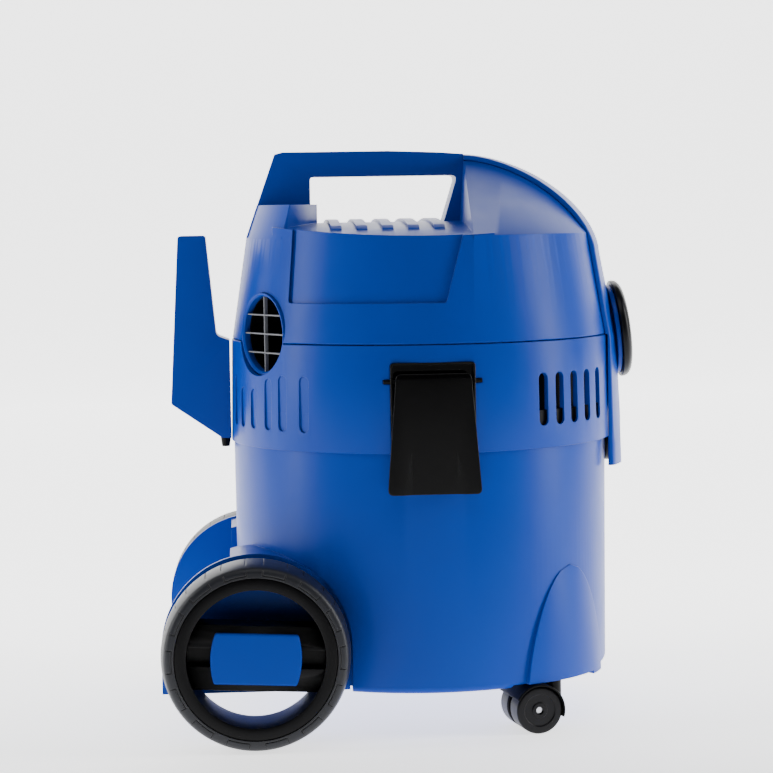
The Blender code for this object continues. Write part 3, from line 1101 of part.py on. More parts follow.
def build_motor_unit():
    seal = ring("seal", RIM_RADIUS - SEAL_WIDTH, RIM_RADIUS, SEAL_Z, SEAL_Z + SEAL_HEIGHT, SHELL_STEPS)
    as_part(seal, "container_seal", BLACK, 0.7)
    plate = ring("plate", EYE_RADIUS, RIM_RADIUS, PLATE_Z, PLATE_TOP_Z, SHELL_STEPS)
    for index, angle in enumerate(BOSS_ANGLES):
        spot = at_angle(BASE_INNER - BOSS_INSET + 3 * MM, angle, 0)
        cut(plate, rod("screw_hole", (spot.x, spot.y, PLATE_Z - WALL), (spot.x, spot.y, PLATE_TOP_Z + WALL),
                       SCREW_RADIUS + FIT, SMALL_STEPS))
        head = PLATE_Z - FIT
        profile = [(0, PLATE_TOP_Z + 13 * MM), (SCREW_RADIUS, PLATE_TOP_Z + 12 * MM), (SCREW_RADIUS, head),
                   (3.6 * MM, head), (3.2 * MM, head - 2.2 * MM), (0, head - 2.6 * MM)]
        screw = placed(turned("screw", profile, SMALL_STEPS), Matrix.Translation((spot.x, spot.y, 0)))
        as_part(screw, "head_screw_" + str(index + 1), STEEL, 0.35, 1.0)
    as_part(baked(plate), "motor_plate", BLACK, 0.55)

    low = PLATE_TOP_Z + FIT
    top = low + HOUSING_HEIGHT
    inner = HOUSING_RADIUS - THIN_WALL
    profile = [(0, top), (HOUSING_RADIUS, top), (HOUSING_RADIUS, low + THIN_WALL),
               (HOUSING_RADIUS + 10 * MM,
               low + THIN_WALL), (HOUSING_RADIUS + 10 * MM, low), (inner, low), (inner, top - THIN_WALL),
               (0, top - THIN_WALL)]
    housing = turned("housing", profile, WHEEL_STEPS)
    cut(housing, port_rod("duct_hole", PORT_RADIUS + SLACK, 20 * MM, 2 * HOUSING_RADIUS))
    as_part(baked(housing), "motor_housing", GREY, 0.5)

    duct_near, duct_far = MOTOR_RADIUS + 12 * MM, SKIRT_RADIUS - 12 * MM
    port = Matrix.Translation((0, 0, PORT_Z)) @ Matrix.Rotation(math.radians(PORT_ANGLE), 4, "Z")
    port = port @ Matrix.Rotation(math.pi / 2, 4, "Y")
    bore = PORT_RADIUS - DUCT_WALL
    duct = ring("duct", bore, PORT_RADIUS, duct_near, duct_far)
    as_part(placed(duct, port), "exhaust_duct", BLACK, 0.5)
    near = duct_far + FIT
    grille = ring("grille", bore, PORT_RADIUS, near, near + 6 * MM)
    bars = [box("bar", (-bore - 1 * MM, -GRILLE_BAR / 2, near + 1 * MM),
                (bore + 1 * MM, GRILLE_BAR / 2, near + 4 * MM))]
    for share in (-0.5, 0, 0.5):
        x = share * bore
        bars.append(box("bar", (x - GRILLE_BAR / 2, -bore - 1 * MM, near + 1.2 * MM),
                        (x + GRILLE_BAR / 2, bore + 1 * MM, near + 3.8 * MM)))
    trim = rod("bar_trim", (0, 0, near - WALL), (0, 0, near + 3 * WALL), PORT_RADIUS - 0.8 * MM)
    for bar in bars:
        combine(bar, "INTERSECT", [trim])
    join(grille, *bars)
    as_part(placed(baked(grille), port), "exhaust_grille", GREY, 0.5)

    fan_low = low + 3 * MM
    hub_radius = 3 * SHAFT_RADIUS
    fan_top = fan_low + IMPELLER_HEIGHT
    profile = [(hub_radius, fan_top), (IMPELLER_RADIUS, fan_top), (IMPELLER_RADIUS, fan_top - 2 * MM),
               (hub_radius, fan_top - 2 * MM), (hub_radius, fan_low), (SHAFT_RADIUS + FIT, fan_low),
               (SHAFT_RADIUS + FIT, fan_top)]
    fan = turned("fan", profile, ROUND_STEPS, closed=True)
    for index in range(BLADE_COUNT):
        blade = box("blade", (hub_radius - 1 * MM, -1 * MM, fan_low + 1 * MM),
                    (IMPELLER_RADIUS - 1 * MM, 1 * MM, fan_top - 1 * MM))
        placed(blade, Matrix.Rotation(math.tau * index / BLADE_COUNT + 0.05, 4, "Z"))
        join(fan, blade)
    as_part(baked(fan), "impeller", BLACK, 0.4)

    deck_low = fan_top + 3 * MM
    deck = ring("deck", 2 * SHAFT_RADIUS, inner - FIT, deck_low, deck_low + 2.6 * MM)
    as_part(deck, "fan_cover", GREY, 0.5)
    mount_low = deck_low + 2.6 * MM + FIT
    motor_low = mount_low + MOUNT_RING + FIT
    motor_top = motor_low + MOTOR_HEIGHT
    mount = ring("mount", MOTOR_RADIUS - 12 * MM, MOTOR_RADIUS + 1 * MM, mount_low, mount_low + MOUNT_RING)
    as_part(mount, "motor_mount_lower", BLACK, 0.75)
    upper = ring("mount", MOTOR_RADIUS - 12 * MM, MOTOR_RADIUS + 1 * MM, motor_top + FIT,
                 top - THIN_WALL - FIT)
    as_part(upper, "motor_mount_upper", BLACK, 0.75)
    wall = 4 * MM
    bore = SHAFT_RADIUS + RUNNING
    core = ARMATURE_RADIUS + 3 * MM
    profile = [(MOTOR_RADIUS, motor_top), (MOTOR_RADIUS, motor_low), (bore, motor_low),
               (bore, motor_low + wall),
               (core, motor_low + wall), (core, motor_top - wall), (bore, motor_top - wall), (bore,
                                                                                              motor_top)]
    as_part(turned("stator", profile, ROUND_STEPS, closed=True), "motor_body", STEEL, 0.4, 0.8)
    armature = ring("armature", SHAFT_RADIUS + FIT, ARMATURE_RADIUS, motor_low + 2.5 * wall,
                    motor_top - 2.5 * wall)
    as_part(armature, "armature", COPPER, 0.45, 0.7)
    shaft = rod("shaft", (0, 0, fan_low - 1 * MM), (0, 0, motor_top + 1.5 * MM), SHAFT_RADIUS, SMALL_STEPS)
    as_part(shaft, "motor_shaft", STEEL, 0.25, 1.0)


# ---------------------------------------------------------------- float and filter

def build_filter():
    top = PLATE_Z - FIT
    low = top - CAGE_HEIGHT
    inner = CAGE_RADIUS - THIN_WALL
    flange = CAGE_RADIUS + 6 * MM
    profile = [(flange, top), (flange, top - THIN_WALL), (CAGE_RADIUS, top - THIN_WALL), (CAGE_RADIUS, low),
               (5.2 * MM, low), (5.2 * MM, low + THIN_WALL), (inner, low + THIN_WALL), (inner, top)]
    cage = turned("cage", profile, ROUND_STEPS, closed=True)
    for index in range(3):
        window = box("window", (-12 * MM, -2 * CAGE_RADIUS, low + 8 * MM),
                     (12 * MM, 2 * CAGE_RADIUS, top - 12 * MM))
        placed(window, Matrix.Rotation(math.pi * index / 3, 4, "Z"))
        cut(cage, window)
    as_part(baked(cage), "float_cage", GREY, 0.5)

    rest = low + THIN_WALL + FIT
    rise = FLOAT_HEIGHT
    profile = [(0, rest + rise), (FLOAT_RADIUS - 4 * MM, rest + rise), (FLOAT_RADIUS, rest + rise - 4 * MM),
               (FLOAT_RADIUS, rest), (0, rest)]
    as_part(turned("float", profile, ROUND_STEPS), "float", (0.75, 0.76, 0.78), 0.5)

    filter_low = top - FILTER_LENGTH
    outline = []
    for index in range(2 * FILTER_PLEATS):
        radius = FILTER_RADIUS if index % 2 == 0 else FILTER_RADIUS - FILTER_PLEAT
        angle = math.pi * index / FILTER_PLEATS
        outline.append((radius * math.cos(angle), radius * math.sin(angle)))
    paper = prism("paper", outline, filter_low, top)
    cut(paper, rod("filter_bore", (0, 0, filter_low - WALL), (0, 0, top + WALL), FILTER_BORE, ROUND_STEPS))
    as_part(baked(paper), "filter_element", PAPER, 0.9)

    cap_top = filter_low - FIT
    profile = [(0, low + 1 * MM), (4.8 * MM, low + 1 * MM), (4.8 * MM, cap_top), (FILTER_RADIUS, cap_top),
               (FILTER_RADIUS, cap_top - FILTER_CAP), (14 * MM, cap_top - FILTER_CAP),
               (12 * MM, cap_top - FILTER_CAP - 9 * MM), (0, cap_top - FILTER_CAP - 9 * MM)]
    as_part(turned("filter_cap", profile, ROUND_STEPS), "filter_end_cap", BLACK, 0.5)


def centre_frame():
    """Move the object so that its origin is under the middle of its bounding box."""
    rear = AXLE_X - WHEEL_RADIUS - 0.4 * MM
    front = knob_seat_x() + (1.2 * MM + KNOB_DEPTH) * math.cos(KNOB_TILT) + 1.9 * MM
    FRAME.location = (-(rear + front) / 2, 0, 0)


def main():
    build_container()
    build_inlet()
    for name, side in SIDES:
        build_wheel(name, side)
        build_caster(name, side)
        build_latch(name, side)
    build_head_base()
    build_head_cover()
    build_fascia()
    build_knob()
    build_hook()
    build_motor_unit()
    build_filter()
    centre_frame()


main()
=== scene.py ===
"""Shop vacuum: the fine shells, wheels, casters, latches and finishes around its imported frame."""
import math

import bmesh
import bpy
from mathutils import Matrix, Vector


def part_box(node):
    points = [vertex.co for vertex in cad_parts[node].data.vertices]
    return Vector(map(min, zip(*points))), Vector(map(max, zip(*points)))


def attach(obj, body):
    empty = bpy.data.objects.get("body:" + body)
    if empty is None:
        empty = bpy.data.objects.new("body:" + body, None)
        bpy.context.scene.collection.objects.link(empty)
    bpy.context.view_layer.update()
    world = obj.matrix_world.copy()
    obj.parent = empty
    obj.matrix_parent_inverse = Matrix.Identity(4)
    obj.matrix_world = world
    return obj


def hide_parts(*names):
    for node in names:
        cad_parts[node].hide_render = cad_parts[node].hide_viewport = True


bl_info = {
    "name": "Shop Vacuum",
    "version": (1, 0, 0),
    "blender": (4, 5, 0),
    "location": "View3D > Sidebar > Vacuum",
    "description": "Builds the shells, wheels, latches and finishes of a compact shop vacuum",
    "category": "Object",
}

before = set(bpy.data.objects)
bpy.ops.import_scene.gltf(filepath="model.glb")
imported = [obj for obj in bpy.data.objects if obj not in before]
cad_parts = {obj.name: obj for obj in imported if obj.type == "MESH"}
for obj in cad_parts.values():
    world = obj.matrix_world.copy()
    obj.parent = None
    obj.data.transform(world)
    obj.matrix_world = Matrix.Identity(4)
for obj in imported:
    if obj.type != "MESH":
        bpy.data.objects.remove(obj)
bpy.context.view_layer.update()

MM = 0.001


def node_box(node):
    low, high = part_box(node)
    return Vector(low), Vector(high)


def node_middle(node):
    low, high = node_box(node)
    return (low + high) / 2


def node_size(node):
    low, high = node_box(node)
    return high - low


# ---- places and sizes that the frame gives ----
TUB_X = node_middle("container_seal").x            # the tub's upright axis
RIM_RADIUS = node_size("container_seal").x / 2
RIM_Z = node_box("container")[1].z
SKIRT_Z = node_box("head_base")[0].z
STEP_Z = node_box("head_cover")[0].z
HANDLE_TOP_Z = node_box("head_cover")[1].z
AXLE = node_middle("tyre_right")
WHEEL_RADIUS = node_size("tyre_right").z / 2
WHEEL_FACE_Y = node_box("tyre_left")[1].y
WHEEL_BACK_Y = node_box("tyre_left")[0].y
CAP_SPAN = (node_box("wheel_cap_left")[0].y, node_box("wheel_cap_left")[1].y)
PLATE_TOP_Z = node_box("motor_plate")[1].z
INLET = node_middle("inlet_collar")
INLET_FACE_X = node_box("inlet_collar")[1].x - TUB_X
INLET_TAIL_X = node_box("inlet_collar")[0].x - TUB_X
INLET_FLANGE = node_size("inlet_collar").z / 2
HOOK_LOW, HOOK_HIGH = node_box("cable_hook")
LATCH_LOW = node_box("latch_left")[0]
PIVOT = node_middle("latch_pin_left")
SIDES = (("right", -1), ("left", 1))

# ---- sizes of the mouldings, in metres about the tub's axis ----
FIT = 0.3 * MM
SLACK = 0.4 * MM
WALL = 2.6 * MM
TUB_RADIUS = RIM_RADIUS + 0.7 * MM
TUB_DRAFT = 0.9 * MM
TUB_FOOT_Z = 35.0 * MM
TUB_INNER = RIM_RADIUS - WALL
FLOOR_UNDER_Z = 37.6 * MM
FLOOR_Z = 40.6 * MM
BASE_DISC = 60.0 * MM
SKIRT_RADIUS = TUB_RADIUS + 1.8 * MM
SKIRT_INNER = RIM_RADIUS + SLACK
STEP_RADIUS = SKIRT_RADIUS - 1.5 * MM
COVER_RADIUS = STEP_RADIUS - 0.5 * MM
COVER_TAPER = 0.157
DECK_Z = 365.5 * MM
DECK_CROWN = 10.5 * MM
DECK_RADIUS = COVER_RADIUS - COVER_TAPER * (DECK_Z - STEP_Z)
COVER_WALL = 4.6 * MM
PANEL_DEPTH = 2.3 * MM
PANEL_Z = 318.0 * MM
FRONT_STRETCH = 0.02
REAR_BLOCK_Z = 390.0 * MM
REAR_BLOCK_HALF_ANGLE = 36.5
REAR_LEAN = 0.35
CROWN_X = 36.0 * MM
CROWN_HALF_ANGLE = 77.0
GRIP_REAR_X = -82.0 * MM
GRIP_FRONT_X = 31.0 * MM
GRIP_SLOPE = 10.0 * MM
HANDLE_HALF_WIDTH = 17.0 * MM
HANDLE_BAR = 19.0 * MM
FASCIA_SHOULDER_Z = 351.0 * MM
FASCIA_PROUD = (9.8 * MM, 4.7 * MM)
FASCIA_SIDE = 4.2 * MM
FASCIA_TOP_DROP = 3.0 * MM
FASCIA_NECK_DROP = 1.2 * MM
FASCIA_WALL = 2.0 * MM
LIP_Z = node_box("front_fascia")[0].z
LAP = 1.5 * MM
LIP = 0.12 * MM
FRONT_LOUVRES = (28.0, 35.5, 42.5, 49.0, 55.5)
REAR_LOUVRES = ((129.5, 265.0), (138.0, 265.0), (144.5, 262.0), (152.5, 253.6), (160.0, 254.0),
                (167.0, 262.0))
LOUVRE_LOW_Z = 226.4 * MM
LOUVRE_HIGH_Z = 265.0 * MM
PORT_ANGLE = -150.0
PORT_Z = node_middle("exhaust_grille").z
PORT_RADIUS = node_size("exhaust_grille").z / 2
LATCH_RECESS = (61.5 * MM, 275.6 * MM, 12.5 * MM)
HOUSING_FACE_Y = 116.5 * MM
KNOB_TILT = math.radians(6.5)
WHEEL_TURN = math.radians(2.8)
CASTER_YAW = math.radians(12.0)


# ---------------------------------------------------------------- settings

class VacuumSettings(bpy.types.PropertyGroup):
    blue: bpy.props.FloatVectorProperty(name="Shell blue", description="Colour of the blue mouldings",
                                        subtype="COLOR", size=3, min=0, max=1, default=(0.0, 0.040, 0.34))
    tyre_grey: bpy.props.FloatVectorProperty(name="Tyre grey", description="Colour of the tyre tread",
                                             subtype="COLOR", size=3, min=0, max=1,
                                             default=(0.010, 0.011, 0.015))
    shell_roughness: bpy.props.FloatProperty(name="Shell roughness",
                                             description="Sheen of the blue mouldings",
                                             min=0, max=1, default=0.34, subtype="FACTOR")
    edge_radius: bpy.props.FloatProperty(name="Edge radius", description="Softness of the moulded edges",
                                         min=0, max=0.005, default=0.9 * MM, unit="LENGTH")
    shell_steps: bpy.props.IntProperty(name="Shell steps", description="Facets round the tub and the head",
                                       min=48, max=256, default=180)
    tab_count: bpy.props.IntProperty(name="Tyre tabs", description="Tabs round each large wheel's face",
                                     min=3, max=40, default=14)
    rib_count: bpy.props.IntProperty(name="Deck ribs", description="Ribs under the carrying handle",
                                     min=1, max=12, default=5)


def settings():
    return bpy.context.scene.vacuum


# ---------------------------------------------------------------- general shapes

def new_object(name, mesh):
    obj = bpy.data.objects.new(name, mesh)
    bpy.context.scene.collection.objects.link(obj)
    return obj


def from_bmesh(name, shape, fix_normals=False):
    if fix_normals:
        bmesh.ops.recalc_face_normals(shape, faces=shape.faces)
    mesh = bpy.data.meshes.new(name)
    shape.to_mesh(mesh)
    shape.free()
    return new_object(name, mesh)


def applied(obj):
    """Swap an object's mesh for the one its modifiers make, welded."""
    graph = bpy.context.evaluated_depsgraph_get()
    mesh = bpy.data.meshes.new_from_object(obj.evaluated_get(graph))
    shape = bmesh.new()
    shape.from_mesh(mesh)
    bmesh.ops.remove_doubles(shape, verts=shape.verts, dist=1e-6)
    shape.to_mesh(mesh)
    shape.free()
    name, place = obj.name, obj.matrix_world.copy()
    bpy.data.objects.remove(obj, do_unlink=True)
    made = new_object(name, mesh)
    mesh.transform(place)
    return made


def placed(obj, matrix):
    obj.data.transform(matrix)
    if matrix.determinant() < 0:
        obj.data.flip_normals()
    return obj


def turned(name, profile, steps=None, closed=False):
    """A profile of (radius, height) pairs turned about Z."""
    steps = steps or settings().shell_steps
    count = len(profile)
    mesh = bpy.data.meshes.new(name)
    edges = [(i, i + 1) for i in range(count - 1)] + ([(count - 1, 0)] if closed else [])
    mesh.from_pydata([(radius, 0, height) for radius, height in profile], edges, [])
    obj = new_object(name, mesh)
    screw = obj.modifiers.new("turn", "SCREW")
    screw.axis = "Z"
    screw.angle = math.tau
    screw.steps = screw.render_steps = steps
    screw.use_merge_vertices = True
    screw.merge_threshold = 1e-5
    return applied(obj)


def prism(name, outline, low, high, along="Z"):
    """An outline given thickness: pairs are (X, Y) along Z, (X, Z) along Y and (Y, Z) along X."""
    data = bpy.data.curves.new(name, "CURVE")
    data.dimensions = "2D"
    data.fill_mode = "BOTH"
    data.extrude = (high - low) / 2
    spline = data.splines.new("POLY")
    spline.points.add(len(outline) - 1)
    for point, (across, up) in zip(spline.points, outline):
        point.co = (across, up, 0, 1)
    spline.use_cyclic_u = True
    obj = applied(new_object(name, data))
    middle = (low + high) / 2
    turns = {"Z": Matrix.Identity(4),
             "Y": Matrix(((1, 0, 0, 0), (0, 0, -1, 0), (0, 1, 0, 0), (0, 0, 0, 1))),
             "X": Matrix(((0, 0, 1, 0), (1, 0, 0, 0), (0, 1, 0, 0), (0, 0, 0, 1)))}
    shift = Vector((middle if along == a else 0 for a in "XYZ"))
    return placed(obj, Matrix.Translation(shift) @ turns[along])


def box(name, low, high):
    shape = bmesh.new()
    bmesh.ops.create_cube(shape, size=1.0)
    size = [b - a for a, b in zip(low, high)]
    middle = [(a + b) / 2 for a, b in zip(low, high)]
    bmesh.ops.transform(shape, verts=shape.verts,
                        matrix=Matrix.LocRotScale(Vector(middle), None, Vector(size)))
    return from_bmesh(name, shape)


def rod(name, start, end, radius, steps=48, end_radius=None):
    start, end = Vector(start), Vector(end)
    span = end - start
    shape = bmesh.new()
    bmesh.ops.create_cone(shape, cap_ends=True, segments=steps, radius1=radius,
                          radius2=radius if end_radius is None else end_radius, depth=span.length)
    turn = span.to_track_quat("Z", "Y")
    bmesh.ops.transform(shape, verts=shape.verts, matrix=Matrix.LocRotScale((start + end) / 2, turn, None))
    return from_bmesh(name, shape)


def hull(name, points):
    shape = bmesh.new()
    for point in points:
        shape.verts.new(point)
    made = bmesh.ops.convex_hull(shape, input=shape.verts)
    spare = [v for v in made["geom_interior"] if isinstance(v, bmesh.types.BMVert)]
    bmesh.ops.delete(shape, geom=spare, context="VERTS")
    return from_bmesh(name, shape, fix_normals=True)


def loft(name, sections):
    shape = bmesh.new()
    rows = [[shape.verts.new(point) for point in section] for section in sections]
    count = len(rows[0])
    for row, following in zip(rows, rows[1:]):
        for i in range(count):
            j = (i + 1) % count
            shape.faces.new((row[i], row[j], following[j], following[i]))
    shape.faces.new(rows[0])
    shape.faces.new(rows[-1])
    return from_bmesh(name, shape, fix_normals=True)


def combine(obj, operation, tools):
    """Boolean steps with closed tools, applied one after the other; the tools are used up."""
    for tool in tools:
        step = obj.modifiers.new("combine", "BOOLEAN")
        step.operation = operation
        step.object = tool
        step.solver = "MANIFOLD"
        obj = applied(obj)
        bpy.data.objects.remove(tool, do_unlink=True)
    return obj


def join(obj, *tools):
    return combine(obj, "UNION", tools)


def cut(obj, *tools):
    return combine(obj, "DIFFERENCE", tools)


def bevelled(obj, width, segments=3, angle=35.0):
    bevel = obj.modifiers.new("edge", "BEVEL")
    bevel.width = width
    bevel.segments = segments
    bevel.limit_method = "ANGLE"
    bevel.angle_limit = math.radians(angle)
    return applied(obj)


def arc(centre, radius, first, last, steps):
    points = []
    for i in range(steps + 1):
        angle = math.radians(first + (last - first) * i / steps)
        points.append((centre[0] + radius * math.cos(angle), centre[1] + radius * math.sin(angle)))
    return points


def filleted(outline, radius, steps=6):
    """The outline with each corner rounded; a single radius or one for each corner."""
    count = len(outline)
    radii = radius if isinstance(radius, (list, tuple)) else [radius] * count
    made = []
    for i, (x, y) in enumerate(outline):
        here = Vector((x, y))
        back = (Vector(outline[i - 1]) - here)
        ahead = (Vector(outline[(i + 1) % count]) - here)
        reach = min(radii[i] / max(math.tan(back.angle(ahead) / 2), 1e-4), 0.48 * back.length,
                    0.48 * ahead.length)
        if radii[i] <= 0 or reach < 1e-6:
            made.append((x, y))
            continue
        start, end = here + back.normalized() * reach, here + ahead.normalized() * reach
        for k in range(steps + 1):
            t = k / steps
            point = start * (1 - t) ** 2 + here * 2 * t * (1 - t) + end * t ** 2
            made.append((point.x, point.y))
    return made


def at_angle(radius, degrees, height):
    angle = math.radians(degrees)
    return Vector((radius * math.cos(angle), radius * math.sin(angle), height))


def stretched_front(obj):
    for vertex in obj.data.vertices:
        if vertex.co.x > 0:
            vertex.co.x *= 1 + FRONT_STRETCH
    return obj


def repeat_tree():
    """Geometry Nodes tree that repeats a piece with a shift and a turn about Z between copies."""
    tree = bpy.data.node_groups.get("repeat_piece")
    if tree:
        return tree
    tree = bpy.data.node_groups.new("repeat_piece", "GeometryNodeTree")
    sockets = (("Geometry", "NodeSocketGeometry"), ("Count", "NodeSocketInt"), ("Shift", "NodeSocketVector"),
               ("Turn", "NodeSocketFloat"), ("Material", "NodeSocketMaterial"))
    for name, kind in sockets:
        tree.interface.new_socket(name, in_out="INPUT", socket_type=kind)
    tree.interface.new_socket("Geometry", in_out="OUTPUT", socket_type="NodeSocketGeometry")
    add, link = tree.nodes.new, tree.links.new
    given, result = add("NodeGroupInput"), add("NodeGroupOutput")
    line = add("GeometryNodeMeshLine")
    line.mode = "OFFSET"
    link(given.outputs["Count"], line.inputs["Count"])
    link(given.outputs["Shift"], line.inputs["Offset"])
    turn = add("ShaderNodeMath")
    turn.operation = "MULTIPLY"
    link(add("GeometryNodeInputIndex").outputs[0], turn.inputs[0])
    link(given.outputs["Turn"], turn.inputs[1])
    spin = add("ShaderNodeCombineXYZ")
    link(turn.outputs[0], spin.inputs["Z"])
    copies = add("GeometryNodeInstanceOnPoints")
    link(line.outputs["Mesh"], copies.inputs["Points"])
    link(given.outputs["Geometry"], copies.inputs["Instance"])
    link(spin.outputs[0], copies.inputs["Rotation"])
    real, dress = add("GeometryNodeRealizeInstances"), add("GeometryNodeSetMaterial")
    link(copies.outputs[0], real.inputs[0])
    link(real.outputs[0], dress.inputs["Geometry"])
    link(given.outputs["Material"], dress.inputs["Material"])
    link(dress.outputs[0], result.inputs[0])
    return tree


def repeated(obj, count, shift=(0, 0, 0), turn=0.0, material=None):
    tree = repeat_tree()
    step = obj.modifiers.new("repeat", "NODES")
    values = {"Count": count, "Shift": shift, "Turn": turn, "Material": material}
    step.node_group = tree
    for item in tree.interface.items_tree:
        if item.in_out == "INPUT" and item.name in values and values[item.name] is not None:
            step[item.identifier] = values[item.name]
    return applied(obj)


def show(obj, name, body, material, nodes, angle=30.0):
    """Move a finished piece from the tub's axis to its place, dress it and give it to a body."""
    placed(obj, Matrix.Translation((TUB_X, 0, 0)))
    obj.name = obj.data.name = name
    obj.data.materials.clear()
    obj.data.materials.append(material)
    obj.data.shade_smooth()
    obj.data.set_sharp_from_angle(angle=math.radians(angle))
    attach(obj, body)
    if nodes:
        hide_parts(*nodes)
    return obj


# ---------------------------------------------------------------- finishes

class Amount:
    """A number socket that takes part in Python sums; each sum adds its Math node."""

    def __init__(self, finish, socket):
        self.finish = finish
        self.socket = socket

    def sum(self, operation, first, second, clamp=False):
        inputs = {i: part.socket if isinstance(part, Amount) else part
                  for i, part in enumerate((first, second))}
        node = self.finish.node("ShaderNodeMath", {"operation": operation, "use_clamp": clamp}, inputs)
        return Amount(self.finish, node.outputs[0])

    def __add__(self, other):
        return self.sum("ADD", self, other)

    __radd__ = __add__

    def __sub__(self, other):
        return self.sum("SUBTRACT", self, other)

    def __rsub__(self, other):
        return self.sum("SUBTRACT", other, self)

    def __mul__(self, other):
        return self.sum("MULTIPLY", self, other)

    __rmul__ = __mul__

    def clamped(self):
        return self.sum("ADD", self, 0.0, clamp=True)


class Finish:
    """One material and the nodes that make it."""

    def __init__(self, name):
        self.material = bpy.data.materials.new(name)
        self.material.use_nodes = True
        self.tree = self.material.node_tree
        self.shader = self.tree.nodes["Principled BSDF"]
        self.place = self.node("ShaderNodeTexCoord").outputs["Object"]

    def node(self, kind, settings=None, inputs=None):
        made = self.tree.nodes.new(kind)
        for name, value in (settings or {}).items():
            setattr(made, name, value)
        for key, value in (inputs or {}).items():
            if isinstance(value, Amount):
                value = value.socket
            if isinstance(value, bpy.types.NodeSocket):
                self.tree.links.new(value, made.inputs[key])
            else:
                made.inputs[key].default_value = value
        return made

    def noise(self, scale, detail=2.0):
        made = self.node("ShaderNodeTexNoise", None, {"Vector": self.place, "Scale": scale, "Detail": detail})
        return Amount(self, made.outputs["Fac"])

    def blend(self, amount, first, second):
        mix = self.node("ShaderNodeMix", {"data_type": "RGBA"}, {"Factor": amount, "A": first, "B": second})
        return mix.outputs[2]

    def feed(self, name, value):
        if isinstance(value, Amount):
            value = value.socket
        if isinstance(value, bpy.types.NodeSocket):
            self.tree.links.new(value, self.shader.inputs[name])
        else:
            self.shader.inputs[name].default_value = value


def shade(color, factor):
    return (*(min(1.0, channel * factor) for channel in color), 1.0)


def moulded(name, color, roughness, grain=0.03, edge=None, edge_highlight=0.2, metallic=0.0, coat=0.0,
            grain_scale=1600.0,
            shine=0.5):
    """Moulded plastic, rubber or metal: fine grain, slow colour drift, and a painted highlight that lightens
    the colour along the softly rounded edges.
    """
    finish = Finish(name)
    edge = settings().edge_radius if edge is None else edge
    drift = finish.noise(14.0, 3.0)
    grains = finish.noise(grain_scale, 2.0)
    smudge = finish.noise(55.0, 4.0)
    base = finish.blend(drift, shade(color, 0.93), shade(color, 1.07))
    if edge:
        round_edge = finish.node("ShaderNodeBevel", {"samples": 6}, {"Radius": edge})
        facing = finish.node("ShaderNodeNewGeometry").outputs["True Normal"]
        same = finish.node("ShaderNodeVectorMath", {"operation": "DOT_PRODUCT"},
                           {0: round_edge.outputs[0], 1: facing})
        # Painted highlight: the colour is lightened where the rounded-edge normal turns away from the true
        # face, so edges read as light lines.
        edge_highlight_mask = ((1.0 - Amount(finish, same.outputs["Value"])) * 5.0).clamped()
        base = finish.blend(edge_highlight_mask * edge_highlight, base, shade(tuple(0.75 * c + 0.05 for c in color), 1.5))
        normal = round_edge.outputs[0]
        bump = finish.node("ShaderNodeBump", None, {"Height": grains, "Strength": grain, "Distance": 0.2 * MM,
                                                    "Normal": normal})
    else:
        bump = finish.node("ShaderNodeBump", None,
                           {"Height": grains, "Strength": grain, "Distance": 0.2 * MM})
    finish.feed("Base Color", base)
    finish.feed("Roughness", (smudge - 0.5) * 0.10 + (drift - 0.5) * 0.04 + roughness)
    finish.feed("Normal", bump.outputs[0])
    finish.feed("Metallic", metallic)
    finish.feed("Coat Weight", coat)
    finish.feed("Specular IOR Level", shine)
    finish.feed("Coat Roughness", 0.08)
    return finish.material


def finishes():
    """The finishes by name, made once."""
    wanted = settings()
    store = finishes.__dict__
    if "made" not in store:
        blue, grey = tuple(wanted.blue), tuple(wanted.tyre_grey)
        store["made"] = {
            "blue": moulded("blue_moulding", blue, wanted.shell_roughness, grain=0.10, shine=0.16),
            "cap_blue": moulded("cap_moulding", shade(blue, 0.95)[:3], 0.4, grain=0.10, shine=0.12),
            "black": moulded("black_moulding", (0.003, 0.003, 0.0035), 0.42, grain=0.16, edge_highlight=0.12,
                             shine=0.1),
            "knob": moulded("knob_moulding", (0.004, 0.004, 0.006), 0.30, grain=0.06, edge_highlight=0.1, shine=0.16),
            "gloss": moulded("gloss_black", (0.0008, 0.0008, 0.001), 0.07, grain=0.0, edge_highlight=0.35, shine=0.14),
            "rim": moulded("rim_moulding", (0.0015, 0.0015, 0.002), 0.30, grain=0.12, edge_highlight=0.25, shine=0.12),
            # The tyre's strong painted edge highlight makes the tab grooves read as light lines.
            "tyre": moulded("tyre_rubber", grey, 0.42, grain=0.22, edge=0.5 * MM, edge_highlight=0.8,
                            grain_scale=700.0, shine=0.32),
            "caster": moulded("caster_tread", (0.003, 0.003, 0.004), 0.38, grain=0.12, edge_highlight=0.12, shine=0.2),
            "grey": moulded("grey_moulding", (0.09, 0.09, 0.10), 0.5, grain=0.1),
            "grille": moulded("grille_moulding", (0.16, 0.165, 0.18), 0.5, grain=0.05, edge_highlight=0.1),
            "seal": moulded("seal_rubber", (0.012, 0.012, 0.012), 0.7, grain=0.3, grain_scale=500.0),
            "steel": moulded("plated_steel", (0.58, 0.59, 0.62), 0.30, grain=0.05, edge_highlight=0.1, metallic=1.0),
            "copper": moulded("copper_winding", (0.50, 0.22, 0.09), 0.38, grain=0.4, metallic=0.9),
            "paper": moulded("filter_paper", (0.72, 0.69, 0.60), 0.92, grain=0.5, edge=0, grain_scale=420.0),
            "natural": moulded("float_moulding", (0.70, 0.71, 0.73), 0.45, grain=0.08),
        }
    return store["made"]


# ---------------------------------------------------------------- shape of the head

AXLE_X = AXLE.x - TUB_X
LOUVRE_HALF = 4.3 * MM
FASCIA_HALF_WIDTH = 45.0 * MM
FASCIA_NECK = 18.0 * MM
RIB_FIRST_X = -65.5 * MM
RIB_PITCH = 19.0 * MM
RIB_HALF_LENGTH = 95.0 * MM
HOOK_HALF_WIDTH = (HOOK_HIGH.y - HOOK_LOW.y) / 2


